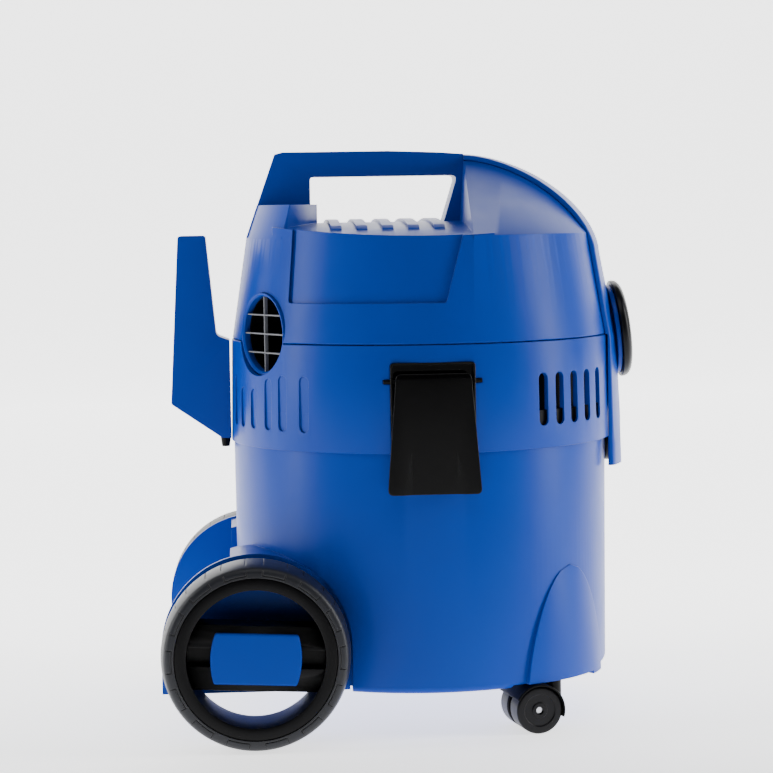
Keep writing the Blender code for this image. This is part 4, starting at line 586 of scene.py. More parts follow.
def head_radius(height):
    if height <= SKIRT_Z:
        return SKIRT_RADIUS
    if height <= STEP_Z:
        return SKIRT_RADIUS - (SKIRT_RADIUS - STEP_RADIUS) * (height - SKIRT_Z) / (STEP_Z - SKIRT_Z)
    return COVER_RADIUS - COVER_TAPER * (height - STEP_Z)


def head_front_x(across, height):
    return math.sqrt(head_radius(height) ** 2 - across ** 2) * (1 + FRONT_STRETCH)


def fascia_proud(height):
    share = (height - LIP_Z) / (FASCIA_SHOULDER_Z - LIP_Z)
    return FASCIA_PROUD[0] + (FASCIA_PROUD[1] - FASCIA_PROUD[0]) * share


def fascia_edge_drop(height):
    middle = head_front_x(0, height) + fascia_proud(height)
    return middle - head_front_x(FASCIA_HALF_WIDTH, height) - FASCIA_SIDE


def fascia_stations(steps=26):
    """Places down the fascia: middle point, inward direction, half width and edge drop."""
    stations = []
    end_x = head_front_x(0, FASCIA_SHOULDER_Z) + fascia_proud(FASCIA_SHOULDER_Z)
    start_z = HANDLE_TOP_Z - FASCIA_TOP_DROP
    drop_end = fascia_edge_drop(FASCIA_SHOULDER_Z)
    for i in range(steps):
        turn = math.pi / 2 * i / steps
        across, up = math.sin(turn) ** (2 / 1.7), math.cos(turn) ** (2 / 1.7)
        middle = Vector((CROWN_X + (end_x - CROWN_X) * across, 0,
                         FASCIA_SHOULDER_Z + (start_z - FASCIA_SHOULDER_Z) * up))
        lean = math.pi / 2 * (i / steps) ** 0.9
        share = math.sin(turn)
        width = FASCIA_NECK + (FASCIA_HALF_WIDTH - FASCIA_NECK) * share
        drop = FASCIA_NECK_DROP + (drop_end - FASCIA_NECK_DROP) * share ** 1.5
        stations.append((middle, Vector((-math.sin(lean), 0, -math.cos(lean))), width, drop))
    for i in range(11):
        height = FASCIA_SHOULDER_Z + (LIP_Z - FASCIA_SHOULDER_Z) * i / 10
        middle = Vector((head_front_x(0, height) + fascia_proud(height), 0, height))
        stations.append((middle, Vector((-1, 0, 0)), FASCIA_HALF_WIDTH, fascia_edge_drop(height)))
    return stations


def crown_points(inset):
    points = []
    radius = DECK_RADIUS - inset
    for i in range(49):
        angle = -CROWN_HALF_ANGLE + 2 * CROWN_HALF_ANGLE * i / 48
        for height, reach in ((DECK_Z - 12 * MM, -LAP), (DECK_Z + LIP - inset * 0.5, LIP)):
            point = at_angle(radius + COVER_TAPER * (DECK_Z - height) + reach, angle, height)
            point.x *= 1 + FRONT_STRETCH if point.x > 0 else 1
            point.x = max(point.x, CROWN_X - 4 * MM + inset)
            points.append(point)
    for middle, inward, width, drop in fascia_stations():
        if middle.z < DECK_Z:
            continue
        for side in (-1, 1):
            point = middle + inward * (drop + FASCIA_SIDE + inset) + Vector((0, side * (width - inset), 0))
            point.x = max(point.x, CROWN_X + inset)
            points.append(point)
    return points


def rear_block_points(inset):
    points = []
    half_angle = REAR_BLOCK_HALF_ANGLE - math.degrees(1.3 * inset / DECK_RADIUS)
    for height, reach in ((DECK_Z - 12 * MM, -LAP), (DECK_Z, LIP), (REAR_BLOCK_Z - inset, LIP)):
        radius = DECK_RADIUS - REAR_LEAN * max(0.0, height - DECK_Z) - inset + reach
        radius += COVER_TAPER * max(0.0, DECK_Z - height)
        for i in range(25):
            angle = 180 - half_angle + 2 * half_angle * i / 24
            points.append(at_angle(radius, angle, height))
        for side in (-1, 1):
            points.append(Vector((GRIP_REAR_X + 5 * MM - inset, side * (HANDLE_HALF_WIDTH + 1 * MM), height)))
    return points


def deck_height(across):
    half = DECK_RADIUS + 2 * MM
    return DECK_Z + DECK_CROWN * (1 - (across / half) ** 2)


def deck_slab():
    half = DECK_RADIUS + 2 * MM
    outline = [(half - 2 * half * i / 40, deck_height(half - 2 * half * i / 40)) for i in range(41)]
    outline += [(-half, DECK_Z - 6 * MM), (half, DECK_Z - 6 * MM)]
    slab = prism("deck", outline, GRIP_REAR_X - 30 * MM, CROWN_X + 12 * MM, "X")
    top, trim = DECK_Z + DECK_CROWN + 2 * MM, DECK_RADIUS - LIP
    profile = [(0, top), (trim - COVER_TAPER * (top - DECK_Z), top),
               (trim + COVER_TAPER * 10 * MM, DECK_Z - 10 * MM), (0, DECK_Z - 10 * MM)]
    return combine(slab, "INTERSECT", [turned("deck_trim", profile)])


def handle_bar():
    rear = -(DECK_RADIUS - REAR_LEAN * (HANDLE_TOP_Z - DECK_Z))
    foot = DECK_Z - 2 * MM
    seat = HANDLE_TOP_Z - FASCIA_TOP_DROP - FASCIA_NECK_DROP - FASCIA_SIDE - SLACK
    outline = [(-DECK_RADIUS, DECK_Z), (rear, HANDLE_TOP_Z - 1.5 * MM), (rear + 6 * MM, HANDLE_TOP_Z),
               (GRIP_REAR_X + 60 * MM, HANDLE_TOP_Z), (CROWN_X - 20 * MM, HANDLE_TOP_Z - 1.5 * MM),
               (CROWN_X - FIT, HANDLE_TOP_Z - FASCIA_TOP_DROP), (CROWN_X - FIT, seat),
               (CROWN_X + 14 * MM, seat - 10 * MM), (CROWN_X + 14 * MM, foot), (-DECK_RADIUS + 12 * MM, foot)]
    handle = prism("handle", outline, -HANDLE_HALF_WIDTH, HANDLE_HALF_WIDTH, "Y")
    top, low = HANDLE_TOP_Z - HANDLE_BAR, DECK_Z - 1 * MM
    grip = [(GRIP_REAR_X, top), (GRIP_FRONT_X, top), (GRIP_FRONT_X - GRIP_SLOPE, DECK_Z + 13 * MM),
            (GRIP_FRONT_X - GRIP_SLOPE - 5 * MM, low), (GRIP_REAR_X + 5 * MM, low),
            (GRIP_REAR_X + 5 * MM, REAR_BLOCK_Z), (GRIP_REAR_X, REAR_BLOCK_Z)]
    grip = filleted(grip, [3 * MM, 4 * MM, 3 * MM, 0, 0, 0, 0])
    reach = 3 * HANDLE_HALF_WIDTH
    return bevelled(cut(handle, prism("grip", grip, -reach, reach, "Y")), 4 * MM, 5, 50.0)


def side_panel(side):
    rear_low, rear_high = -0.731 * head_radius(PANEL_Z), -0.731 * DECK_RADIUS
    outline = [(rear_low, PANEL_Z), (0.077 * head_radius(PANEL_Z), PANEL_Z),
               (0.09 * DECK_RADIUS, PANEL_Z + 3 * MM),
               (0.225 * DECK_RADIUS, DECK_Z + 20 * MM), (rear_high, DECK_Z + 20 * MM)]
    near, far = sorted((side * 0.4 * TUB_RADIUS, side * 1.2 * TUB_RADIUS))
    panel = prism("panel", filleted(outline, [2 * MM, 3 * MM, 3 * MM, 0, 0]), near, far, "Y")
    low, high = PANEL_Z - 10 * MM, DECK_Z + 30 * MM
    profile = [(0, high), (head_radius(high) - PANEL_DEPTH, high), (head_radius(low) - PANEL_DEPTH, low),
               (0, low)]
    return cut(panel, turned("panel_core", profile))


def port_rod(radius, near, far, steps=96):
    direction, lift = at_angle(1.0, PORT_ANGLE, 0), Vector((0, 0, PORT_Z))
    return rod("port", direction * near + lift, direction * far + lift, radius, steps)


def on_port(obj):
    """Lay a shape that was turned about Z on the exhaust's axis."""
    turn = Matrix.Rotation(math.radians(PORT_ANGLE), 4, "Z") @ Matrix.Rotation(math.pi / 2, 4, "Y")
    return placed(obj, Matrix.Translation((0, 0, PORT_Z)) @ turn)


def inlet_notch(clearance):
    radius = INLET_FLANGE + clearance
    outline = arc((0, INLET.z), radius, 0, 180, 40)
    outline += [(-radius, INLET.z - 3 * radius), (radius, INLET.z - 3 * radius)]
    return prism("inlet_notch", outline, TUB_RADIUS - 30 * MM, TUB_RADIUS + 60 * MM, "X")


def knob_axis():
    return Vector((math.cos(KNOB_TILT), 0, math.sin(KNOB_TILT)))


def knob_seat():
    height = 290.0 * MM
    return Vector((head_front_x(0, height) + fascia_proud(height), 0, height))


def knob_rod(radius, back, front, steps=48):
    return rod("knob_rod", knob_seat() - knob_axis() * back, knob_seat() + knob_axis() * front, radius, steps)


def louvre(angle, low, high, inner, outer):
    outline = arc((0, high - LOUVRE_HALF), LOUVRE_HALF, 0, 180, 14)
    outline += arc((0, low + LOUVRE_HALF), LOUVRE_HALF, 180, 360, 14)
    return placed(prism("louvre", outline, inner, outer, "X"), Matrix.Rotation(math.radians(angle), 4, "Z"))


# ---------------------------------------------------------------- pieces

def housing_outline(radius, rear_x=None, foot_z=TUB_FOOT_Z):
    top = arc((AXLE_X, AXLE.z), radius, 0, 180, 72)
    points = [(AXLE_X + radius, foot_z)] + top + [(AXLE_X - radius, foot_z)]
    if rear_x is None:
        return points
    height = AXLE.z + math.sqrt(radius ** 2 - (rear_x - AXLE_X) ** 2)
    return [point for point in points if point[0] > rear_x] + [(rear_x, height), (rear_x, foot_z)]


def dome(side):
    """Pointed bulge over a caster."""
    points = []
    for level in range(25):
        rise = level / 24
        height = TUB_FOOT_Z + 86 * MM * rise
        half = 18.0 * math.sqrt(max(0.0, 1 - rise ** 1.5))
        proud = 5.5 * MM * (1 - rise ** 2) + 0.15 * MM
        for step in range(-8, 9):
            share = step / 8
            points.append(at_angle(TUB_RADIUS + proud * (1 - 0.55 * share ** 2), side * 44.0 + half * share,
                                   height))
        for share in (-1, 1):
            points.append(at_angle(TUB_INNER, side * 44.0 + half * share, height))
    return hull("dome", points)


def caster_stem(side):
    return at_angle(TUB_RADIUS - 7.4 * MM, side * 49.8, 0)


def make_tub():
    foot, fillet = TUB_RADIUS - TUB_DRAFT, 5 * MM
    outer = [(0, RIM_Z), (RIM_RADIUS - 0.6 * MM, RIM_Z), (RIM_RADIUS, RIM_Z - 0.6 * MM),
             (RIM_RADIUS, SKIRT_Z + WALL), (TUB_RADIUS, SKIRT_Z - WALL)]
    outer += arc((foot - fillet, TUB_FOOT_Z + fillet), fillet, 0, -90, 8)
    outer += [(foot - 9 * MM, TUB_FOOT_Z), (foot - 10 * MM, FLOOR_UNDER_Z),
              (BASE_DISC + 2 * MM, FLOOR_UNDER_Z),
              (BASE_DISC, FLOOR_UNDER_Z - 3.6 * MM), (0, FLOOR_UNDER_Z - 3.6 * MM)]
    tub = turned("tub", outer)
    inside = [(0, RIM_Z + WALL), (TUB_INNER, RIM_Z + WALL), (TUB_INNER - TUB_DRAFT, FLOOR_Z + 3 * MM),
              (TUB_INNER - TUB_DRAFT - 3 * MM, FLOOR_Z), (0, FLOOR_Z)]
    cavity = turned("cavity", inside)
    width = WHEEL_FACE_Y - WHEEL_BACK_Y
    stem_top = FLOOR_UNDER_Z + 20 * MM + 2 * WALL
    for name, side in SIDES:
        near, far = sorted((side * (HOUSING_FACE_Y - 4.5 * MM), side * HOUSING_FACE_Y))
        plate = bevelled(prism("plate", housing_outline(WHEEL_RADIUS + 0.4 * MM), near, far, "Y"), 1.0 * MM,
                         3)
        near, far = sorted((side * 0.4 * TUB_RADIUS, side * (HOUSING_FACE_Y - 2.25 * MM)))
        body = prism("body", housing_outline(WHEEL_RADIUS - 1 * MM, -148 * MM), near, far, "Y")
        stem = caster_stem(side)
        socket = rod("socket", (stem.x, stem.y, 0), (stem.x, stem.y, stem_top), 4.7 * MM + 2 * WALL)
        boss = rod("boss", (stem.x, stem.y, FLOOR_UNDER_Z + WALL / 2), (stem.x, stem.y, stem_top - WALL / 2),
                   4.7 * MM + WALL)
        tub = join(tub, plate, body, dome(side))
        far = side * (TUB_RADIUS + width)
        spare_y = sorted((side * (HOUSING_FACE_Y - WALL), far))
        spare = prism("spare", housing_outline(WHEEL_RADIUS + 1.8 * MM + WALL, foot_z=0), *spare_y, "Y")
        cavity = cut(cavity, spare, socket)
        keeper_y = sorted((side * TUB_INNER, side * (TUB_RADIUS + 0.8 * MM)))
        keeper = box("keeper", (-20 * MM, keeper_y[0], 194 * MM), (20 * MM, keeper_y[1], 198 * MM))
        tub = join(tub, boss, keeper)
        pocket_y = sorted((side * HOUSING_FACE_Y, far))
        pocket = prism("pocket", housing_outline(WHEEL_RADIUS + 1.8 * MM, foot_z=0), *pocket_y, "Y")
        tub = cut(tub, pocket)
    tub = cut(tub, cavity)
    for name, side in SIDES:
        stem = caster_stem(side)
        relief = rod("relief", (stem.x, stem.y, 0), (stem.x, stem.y, FLOOR_UNDER_Z - 0.1 * MM), 40.7 * MM, 96)
        bore = rod("bore", (stem.x, stem.y, 0), (stem.x, stem.y, FLOOR_UNDER_Z + 20.3 * MM), 5 * MM)
        axle_bore = rod("axle_bore", (AXLE_X, side * (HOUSING_FACE_Y - 30.3 * MM), AXLE.z),
                        (AXLE_X, side * (HOUSING_FACE_Y + WALL), AXLE.z), 5.3 * MM)
        tub = cut(tub, relief, bore, axle_bore)
    inlet = rod("inlet", (TUB_INNER - 4 * WALL, 0, INLET.z), (TUB_RADIUS + 4 * WALL, 0, INLET.z), 18.5 * MM)
    show(cut(tub, inlet), "tub_shell", "container", finishes()["blue"], ["container"])


def make_inlet():
    face, tail = INLET_FACE_X, INLET_TAIL_X
    length, tube, bore = face - tail, 18.2 * MM, 16.0 * MM
    flange = face - TUB_RADIUS - FIT
    profile = [(INLET_FLANGE - 1 * MM, length), (INLET_FLANGE - 0.3 * MM, length - 0.3 * MM),
               (INLET_FLANGE, length - 1 * MM), (INLET_FLANGE, length - flange), (tube, length - flange),
               (tube, 0),
               (bore, 0), (bore, length - 1.2 * MM), (bore + 1.2 * MM, length)]
    collar = turned("collar", profile, 96, closed=True)
    turn = Matrix.Translation((tail, 0, INLET.z)) @ Matrix.Rotation(math.pi / 2, 4, "Y")
    show(placed(collar, turn), "inlet_socket", "container", finishes()["black"], ["inlet_collar"])


def make_head_base():
    inner = SKIRT_INNER - WALL
    lip, top = 0.8 * MM, STEP_Z - FIT
    profile = [(STEP_RADIUS - lip, top), (STEP_RADIUS - 0.25 * lip, top - 0.25 * lip),
               (STEP_RADIUS, top - lip),
               (SKIRT_RADIUS, SKIRT_Z + lip), (SKIRT_RADIUS - 0.25 * lip, SKIRT_Z + 0.25 * lip),
               (SKIRT_RADIUS - lip, SKIRT_Z), (SKIRT_INNER, SKIRT_Z), (SKIRT_INNER, PLATE_TOP_Z + FIT),
               (inner, PLATE_TOP_Z + FIT), (inner, top)]
    base = stretched_front(turned("base", profile, closed=True))
    half, recess_top, depth = LATCH_RECESS[0] / 2, LATCH_RECESS[1], LATCH_RECESS[2]
    for name, side in SIDES:
        face = side * (SKIRT_RADIUS - depth)
        corner = math.sqrt(STEP_RADIUS ** 2 - (half + 3 * WALL) ** 2) - 0.6 * MM
        low_y, high_y = sorted((face - side * WALL, side * corner))
        pocket = box("pocket", (-half - 3 * WALL, low_y, PLATE_TOP_Z + 2 * WALL),
                     (half + 3 * WALL, high_y, recess_top + WALL))
        low_y, high_y = sorted((face, side * (SKIRT_RADIUS + 10 * MM)))
        outline = [(-half, SKIRT_Z - WALL), (half, SKIRT_Z - WALL), (half, recess_top), (-half, recess_top)]
        recess = prism("recess", filleted(outline, [0, 0, 3 * MM, 3 * MM]), low_y, high_y, "Y")
        pivot = (0, side * (SKIRT_RADIUS - 4.4 * MM), PIVOT.z)
        bore = rod("bore", (-half - 2 * WALL, pivot[1], pivot[2]), (half + 2 * WALL, pivot[1], pivot[2]),
                   1.9 * MM, 24)
        base = cut(join(base, pocket), recess, bore)
    for side in (-1, 1):
        for angle in FRONT_LOUVRES:
            base = cut(base,
                       louvre(side * angle, LOUVRE_LOW_Z, LOUVRE_HIGH_Z, inner - 4 * MM,
                              SKIRT_RADIUS + 4 * MM))
        for angle, slot_top in REAR_LOUVRES:
            near = head_radius(246 * MM) - 1.2 * MM
            base = cut(base,
                       louvre(side * angle, LOUVRE_LOW_Z - 2.4 * MM, slot_top * MM, near,
                              SKIRT_RADIUS + 4 * MM))
    base = cut(base, port_rod(PORT_RADIUS + SLACK, 0.6 * TUB_RADIUS, 1.3 * TUB_RADIUS), inlet_notch(2 * MM),
               knob_rod(5.6 * MM, 45 * MM, 30 * MM))
    show(base, "head_ring", "head", finishes()["blue"], ["head_base"])


def curved_strip(name, angles, inner, outer, low, high):
    """Part of a ring between two angles."""
    outline = arc((0, 0), outer, *angles, 24) + arc((0, 0), inner, *angles[::-1], 24)
    return prism(name, outline, low, high)


def make_louvre_shade():
    """Black sheets behind the front louvres: painted shade standing in for the dark inside of the head."""
    pieces = []
    for side in (-1, 1):
        angles = sorted((side * 22.0, side * 61.0))
        pieces.append(curved_strip("screen", angles, 136.5 * MM, 138.5 * MM, PLATE_TOP_Z + FIT,
                                   STEP_Z - 8 * MM))
        pieces.append(curved_strip("strip", angles, RIM_RADIUS + 0.1 * MM, SKIRT_INNER - 0.08 * MM,
                                   SKIRT_Z + 10 * MM, PLATE_TOP_Z))
    show(join(*pieces), "louvre_shade_screen", "head", finishes()["black"], [])


def make_latch_recess_shade(name, side):
    """Gloss-black liner in the latch's recess: a dark sheet that paints the shadow inside the recess."""
    half, top, depth = LATCH_RECESS[0] / 2 - 0.15 * MM, LATCH_RECESS[1] - 0.15 * MM, LATCH_RECESS[2]
    back, front = side * (SKIRT_RADIUS - depth + 0.15 * MM), side * (SKIRT_RADIUS - 0.9 * MM)
    low = SKIRT_Z + 0.3 * MM
    outline = [(-half, low), (half, low), (half, top), (-half, top)]
    wall = 1.2 * MM
    inner = [(-half + wall, low - wall), (half - wall, low - wall), (half - wall, top - wall),
             (-half + wall, top - wall)]
    seat = prism("seat", filleted(outline, [0, 0, 3 * MM, 3 * MM]), *sorted((back, front)), "Y")
    hollow = sorted((back + side * wall, front + side * wall))
    seat = cut(seat, prism("hollow", filleted(inner, [0, 0, 2 * MM, 2 * MM]), *hollow, "Y"))
    show(seat, "latch_recess_shade_" + name, "head", finishes()["gloss"], [])


def make_head_cover():
    lip, low = 0.8 * MM, STEP_Z + FIT
    shell = [(0, DECK_Z), (DECK_RADIUS - lip, DECK_Z), (DECK_RADIUS - 0.25 * lip, DECK_Z - 0.25 * lip),
             (DECK_RADIUS + COVER_TAPER * lip, DECK_Z - lip),
             (head_radius(low) - COVER_TAPER * lip, low + lip),
             (head_radius(low) - lip, low), (0, low)]
    cover = stretched_front(turned("cover", shell))
    cover = join(cover, deck_slab(), hull("rear_block", rear_block_points(0.0)),
                 hull("crown", crown_points(0.0)))
    cover = cut(cover, side_panel(-1), side_panel(1))
    cover = join(cover, handle_bar())
    high, low = DECK_Z - COVER_WALL, STEP_Z - 2 * MM
    inside = turned("inside", [(0, high), (head_radius(high) - COVER_WALL, high),
                               (head_radius(STEP_Z + FIT) - COVER_WALL + 0.4 * MM, low), (0, low)])
    cover = cut(cover, inside, hull("crown_inside", crown_points(COVER_WALL)),
                hull("rear_inside", rear_block_points(COVER_WALL)),
                port_rod(PORT_RADIUS + SLACK, 0.6 * TUB_RADIUS, 1.3 * TUB_RADIUS),
                knob_rod(5.6 * MM, 45 * MM, 30 * MM))
    show(cover, "head_top", "head", finishes()["blue"], ["head_cover"])


def make_deck_ribs():
    """Rounded ribs across the deck, repeated front to back."""
    steps, top, bottom = 40, [], []
    for i in range(steps + 1):
        across = RIB_HALF_LENGTH * (2 * i / steps - 1)
        end = min(1.0, (RIB_HALF_LENGTH - abs(across)) / (6 * MM))
        lift = 2.4 * MM * math.sqrt(max(0.0, 1 - (1 - end) ** 2)) + 0.1 * MM
        top.append((across, deck_height(across) + lift))
        bottom.append((across, deck_height(across) - 2 * MM))
    rib = prism("rib", top + bottom[::-1], RIB_FIRST_X - 4 * MM, RIB_FIRST_X + 4 * MM, "X")
    rib = bevelled(rib, 1.6 * MM, 4, 50.0)
    rib = repeated(rib, settings().rib_count, shift=(RIB_PITCH, 0, 0), material=finishes()["blue"])
    show(rib, "deck_ribs", "head", finishes()["blue"], [])


def make_fascia():
    shares = [i / 10 for i in range(-10, 11)]
    bevel, sections = 0.7 * MM, []
    for middle, inward, width, drop in fascia_stations():
        depth, inner = drop + FASCIA_SIDE - SLACK, width - FASCIA_WALL
        front = width - bevel
        section = [middle + inward * drop * s * s * (front / width) ** 2 + Vector((0, s * front,
                                                                                   0)) for s in shares]
        right = [(drop + bevel, width), (depth - bevel, width), (depth, front), (depth, inner)]
        section += [middle + inward * d + Vector((0, y, 0)) for d, y in right]
        for s in reversed(shares):
            section.append(middle + inward * (drop * s * s * (inner / width) ** 2 + FASCIA_WALL)
                           + Vector((0, s * inner, 0)))
        section += [middle + inward * d - Vector((0, y, 0)) for d, y in right[::-1]]
        sections.append(section)
    fascia = join(loft("fascia", sections), knob_rod(34.5 * MM, 2.5 * MM, 0.6 * MM, 96))
    clear = turned("clear", [(0, DECK_Z), (DECK_RADIUS + SLACK, DECK_Z), (COVER_RADIUS + SLACK, STEP_Z),
                             (SKIRT_RADIUS + SLACK, STEP_Z), (SKIRT_RADIUS + SLACK, SKIRT_Z), (0, SKIRT_Z)])
    fascia = cut(fascia, stretched_front(clear), hull("crown_clear", crown_points(-SLACK)),
                 inlet_notch(2.4 * MM),
                 knob_rod(4.6 * MM, 45 * MM, 30 * MM))
    show(fascia, "front_panel", "head", finishes()["blue"], ["front_fascia"])


def make_knob():
    radius, back = node_size("knob").y / 2, 1.2 * MM
    front = back + 9 * MM
    profile = [(0, front), (0.4 * radius, front - 0.1 * MM), (0.7 * radius, front - 0.5 * MM)]
    for i in range(13):
        turn = math.pi / 2 * i / 12
        profile.append((radius - 8 * MM * (1 - math.sin(turn)),
                        front - 0.9 * MM - 6 * MM * (1 - math.cos(turn))))
    profile += [(radius, back + 0.5 * MM), (radius - 0.5 * MM, back), (4 * MM, back), (4 * MM, -26 * MM),
                (0, -26 * MM)]
    turn = Vector((0, 0, 1)).rotation_difference(knob_axis()).to_matrix().to_4x4()
    knob = placed(turned("knob", profile, 128), Matrix.Translation(knob_seat()) @ turn)
    show(knob, "power_knob", "knob", finishes()["knob"], ["knob"])


def make_latch(name, side):
    face = side * (TUB_RADIUS + 7 * MM)
    back = face - side * 3.6 * MM
    top, foot, low, high = 27 * MM, 34 * MM, LATCH_LOW.z, 268 * MM
    outline = [(-foot, low), (foot, low), (top, high), (-top, high)]
    near, far = sorted((back, face))
    lever = bevelled(prism("lever", filleted(outline, 4 * MM), near, far, "Y"), 1.1 * MM, 4)
    out = face + side * 2 * MM
    scoop = [(x * way, y, z) for way in (-1, 1) for x, y, z in
             ((16.2 * MM, face, 212 * MM), (16.2 * MM, face - side * 2.2 * MM, low - 1 * MM),
              (22.8 * MM, face, low - 1 * MM), (22.8 * MM, out, low - 1 * MM), (16.2 * MM, out, 212 * MM))]
    lever = cut(lever, hull("scoop", scoop))
    pivot = (0, side * (SKIRT_RADIUS - 4.4 * MM), PIVOT.z)
    for way in (-1, 1):
        x_low, x_high = sorted((way * (top - 5.5 * MM), way * (top - 2 * MM)))
        ear = rod("ear", (x_low, pivot[1], pivot[2]), (x_high, pivot[1], pivot[2]), 4.0 * MM)
        y_low, y_high = sorted((pivot[1], back + side * 1 * MM))
        arm = box("arm", (x_low, y_low, pivot[2] - 3.9 * MM), (x_high, y_high, pivot[2] + 3.7 * MM))
        lever = join(lever, join(ear, arm))
    y_low, y_high = sorted((side * (TUB_RADIUS + 1.1 * MM), back + side * 1 * MM))
    lever = join(lever, box("nib", (-18 * MM, y_low, 187.5 * MM), (18 * MM, y_high, 192.5 * MM)))
    lever = cut(lever,
                rod("bore", (-40 * MM, pivot[1], pivot[2]), (40 * MM, pivot[1], pivot[2]), 1.9 * MM, 24))
    show(lever, "latch_lever_" + name, "latch_" + name, finishes()["gloss"], ["latch_" + name])


def make_hook():
    inner, outer = HOOK_HIGH.x - TUB_X, HOOK_LOW.x - TUB_X
    horn_out = outer + 7.5 * MM
    horn_in, horn_z = horn_out + 21 * MM, HOOK_HIGH.z
    outline = [(inner, SKIRT_Z + 2 * MM), (inner, STEP_Z - 1 * MM), (inner - 10 * MM, STEP_Z + 3 * MM),
               (horn_in, horn_z), (horn_out, horn_z), (outer, 239 * MM), (inner - 7 * MM, SKIRT_Z + 2.5 * MM)]
    outline = filleted(outline, [0, 1 * MM, 5 * MM, 2.5 * MM, 2.5 * MM, 3 * MM, 2 * MM])
    hook = bevelled(prism("hook", outline, -HOOK_HALF_WIDTH, HOOK_HALF_WIDTH, "Y"), 2.2 * MM, 5)
    show(hook, "cord_hook", "head", finishes()["blue"], ["cable_hook"])


def on_axle(obj, side, turn=0.0):
    lay = Matrix.Rotation(turn, 4, "Y") @ Matrix.Rotation(-side * math.pi / 2, 4, "X")
    return placed(obj, Matrix.Translation((AXLE_X, 0, AXLE.z)) @ lay)


def cap_outline(length, height, barrel):
    half, rise = length / 2, height / 2
    radius = (rise ** 2 + barrel ** 2) / (2 * barrel)
    spread = math.degrees(math.asin(rise / radius))
    right = arc((half - radius, 0), radius, -spread, spread, 20)
    return right + arc((radius - half, 0), radius, 180 - spread, 180 + spread, 20)


def make_tyre(name, side):
    rim_out = WHEEL_RADIUS - 9.9 * MM
    width = WHEEL_FACE_Y - WHEEL_BACK_Y
    half, centre, seat = width / 2, WHEEL_FACE_Y - width / 2, rim_out + FIT
    profile = []
    for share, drop in ((1.0, 6.2), (0.985, 5.0), (0.95, 3.6), (0.9, 2.6), (0.84, 2.0), (0.6, 0.8),
                        (0.3, 0.0),
                        (-0.3, 0.0), (-0.6, 0.8), (-0.84, 2.0), (-0.9, 2.6), (-0.95, 3.6), (-0.985, 5.0),
                        (-1.0, 6.2)):
        profile.append((WHEEL_RADIUS - drop * MM, centre + share * half))
    profile += [(seat, centre - half), (seat, centre + half)]
    tyre = turned("tyre", profile, 180, closed=True)
    count = settings().tab_count
    across = math.radians(7.5)
    inner, outer, face = WHEEL_RADIUS - 8.4 * MM, WHEEL_RADIUS + 2 * MM, WHEEL_FACE_Y
    line, deep = 0.45 * MM, 1.1 * MM
    frame_lines = []
    for way in (-1, 1):
        end = box("tab_end", (inner, -line, face - deep), (outer, line, face + 1 * MM))
        turn = Matrix.Rotation(way * across, 4, "Z")
        frame_lines.append(placed(end, turn))
        tread = box("tread_line", (WHEEL_RADIUS - 3.4 * MM, -line, WHEEL_BACK_Y + 6 * MM),
                    (outer, line, face - 1.6 * MM))
        tread = cut(tread,
                    rod("tread_floor", (0, 0, WHEEL_BACK_Y), (0, 0, face + 1 * MM), WHEEL_RADIUS - 1.1 * MM,
                        180))
        frame_lines.append(placed(tread, turn))
    degrees = math.degrees(across)
    ring_line = arc((0, 0), inner + 2 * line, -degrees, degrees, 12) + arc((0, 0), inner, degrees, -degrees,
                                                                           12)
    frame_lines.append(prism("tab_foot", ring_line, face - deep, face + 1 * MM))
    tab = join(*frame_lines)
    tabs = repeated(tab, count, turn=math.tau / count, material=finishes()["tyre"])
    tyre = on_axle(cut(tyre, tabs), side)
    show(tyre, "wheel_tyre_" + name, "wheel_" + name, finishes()["tyre"], ["tyre_" + name], 25.0)


def make_rim(name, side):
    rim_out = WHEEL_RADIUS - 9.9 * MM
    rim_in = rim_out - 8.6 * MM
    face = WHEEL_FACE_Y - 0.5 * MM
    bar_face = WHEEL_FACE_Y - 6 * MM
    bar_back = bar_face - 26 * MM
    edge = 0.9 * MM
    profile = [(rim_in + edge, face), (rim_in + 0.25 * edge, face - 0.25 * edge), (rim_in, face - edge),
               (rim_in, WHEEL_BACK_Y + 2 * MM), (rim_out, WHEEL_BACK_Y + 2 * MM), (rim_out, face - edge),
               (rim_out - 0.25 * edge, face - 0.25 * edge), (rim_out - edge, face)]
    rim = turned("rim", profile, 144, closed=True)
    bars = box("bars", (-rim_out, -23.5 * MM, bar_back), (rim_out, 23.5 * MM, bar_face))
    bars = bevelled(bars, 0.9 * MM, 3)
    within = rod("within", (0, 0, bar_back - WALL), (0, 0, bar_face + WALL), rim_in + 4.3 * MM, 144)
    bars = combine(bars, "INTERSECT", [within])
    channel = box("channel", (-rim_in + 0.2 * MM, -6.8 * MM, bar_face - 13 * MM),
                  (rim_in - 0.2 * MM, 6.8 * MM, bar_face + WALL))
    # This join leaves edges with more than two faces, so the four steps after it do not execute: Blender
    # warns for each, and the disc has no hub, core, bore or sink. It is a known fault, kept as it is.
    rim = join(rim, cut(bars, channel))
    rim = join(rim, rod("hub", (0, 0, WHEEL_BACK_Y - 1.5 * MM), (0, 0, bar_back + WALL), 13 * MM),
               rod("core", (0, 0, bar_back + WALL), (0, 0, bar_face - 1 * MM), 13 * MM))
    rim = cut(rim, rod("bore", (0, 0, WHEEL_BACK_Y - 9 * MM), (0, 0, bar_face + WALL), 5.3 * MM),
              rod("sink", (0, 0, bar_face - 6 * MM), (0, 0, bar_face + WALL), 9.5 * MM))
    show(on_axle(rim, side, WHEEL_TURN), "wheel_disc_" + name, "wheel_" + name, finishes()["rim"],
         ["wheel_rim_" + name])
    outline = cap_outline(65 * MM, 36.5 * MM, 3 * MM)
    cap = prism("cap", outline, CAP_SPAN[0], CAP_SPAN[1])
    cap = on_axle(bevelled(cap, 1.3 * MM, 5), side, WHEEL_TURN)
    show(cap, "hub_cap_" + name, "wheel_" + name, finishes()["cap_blue"], ["wheel_cap_" + name])


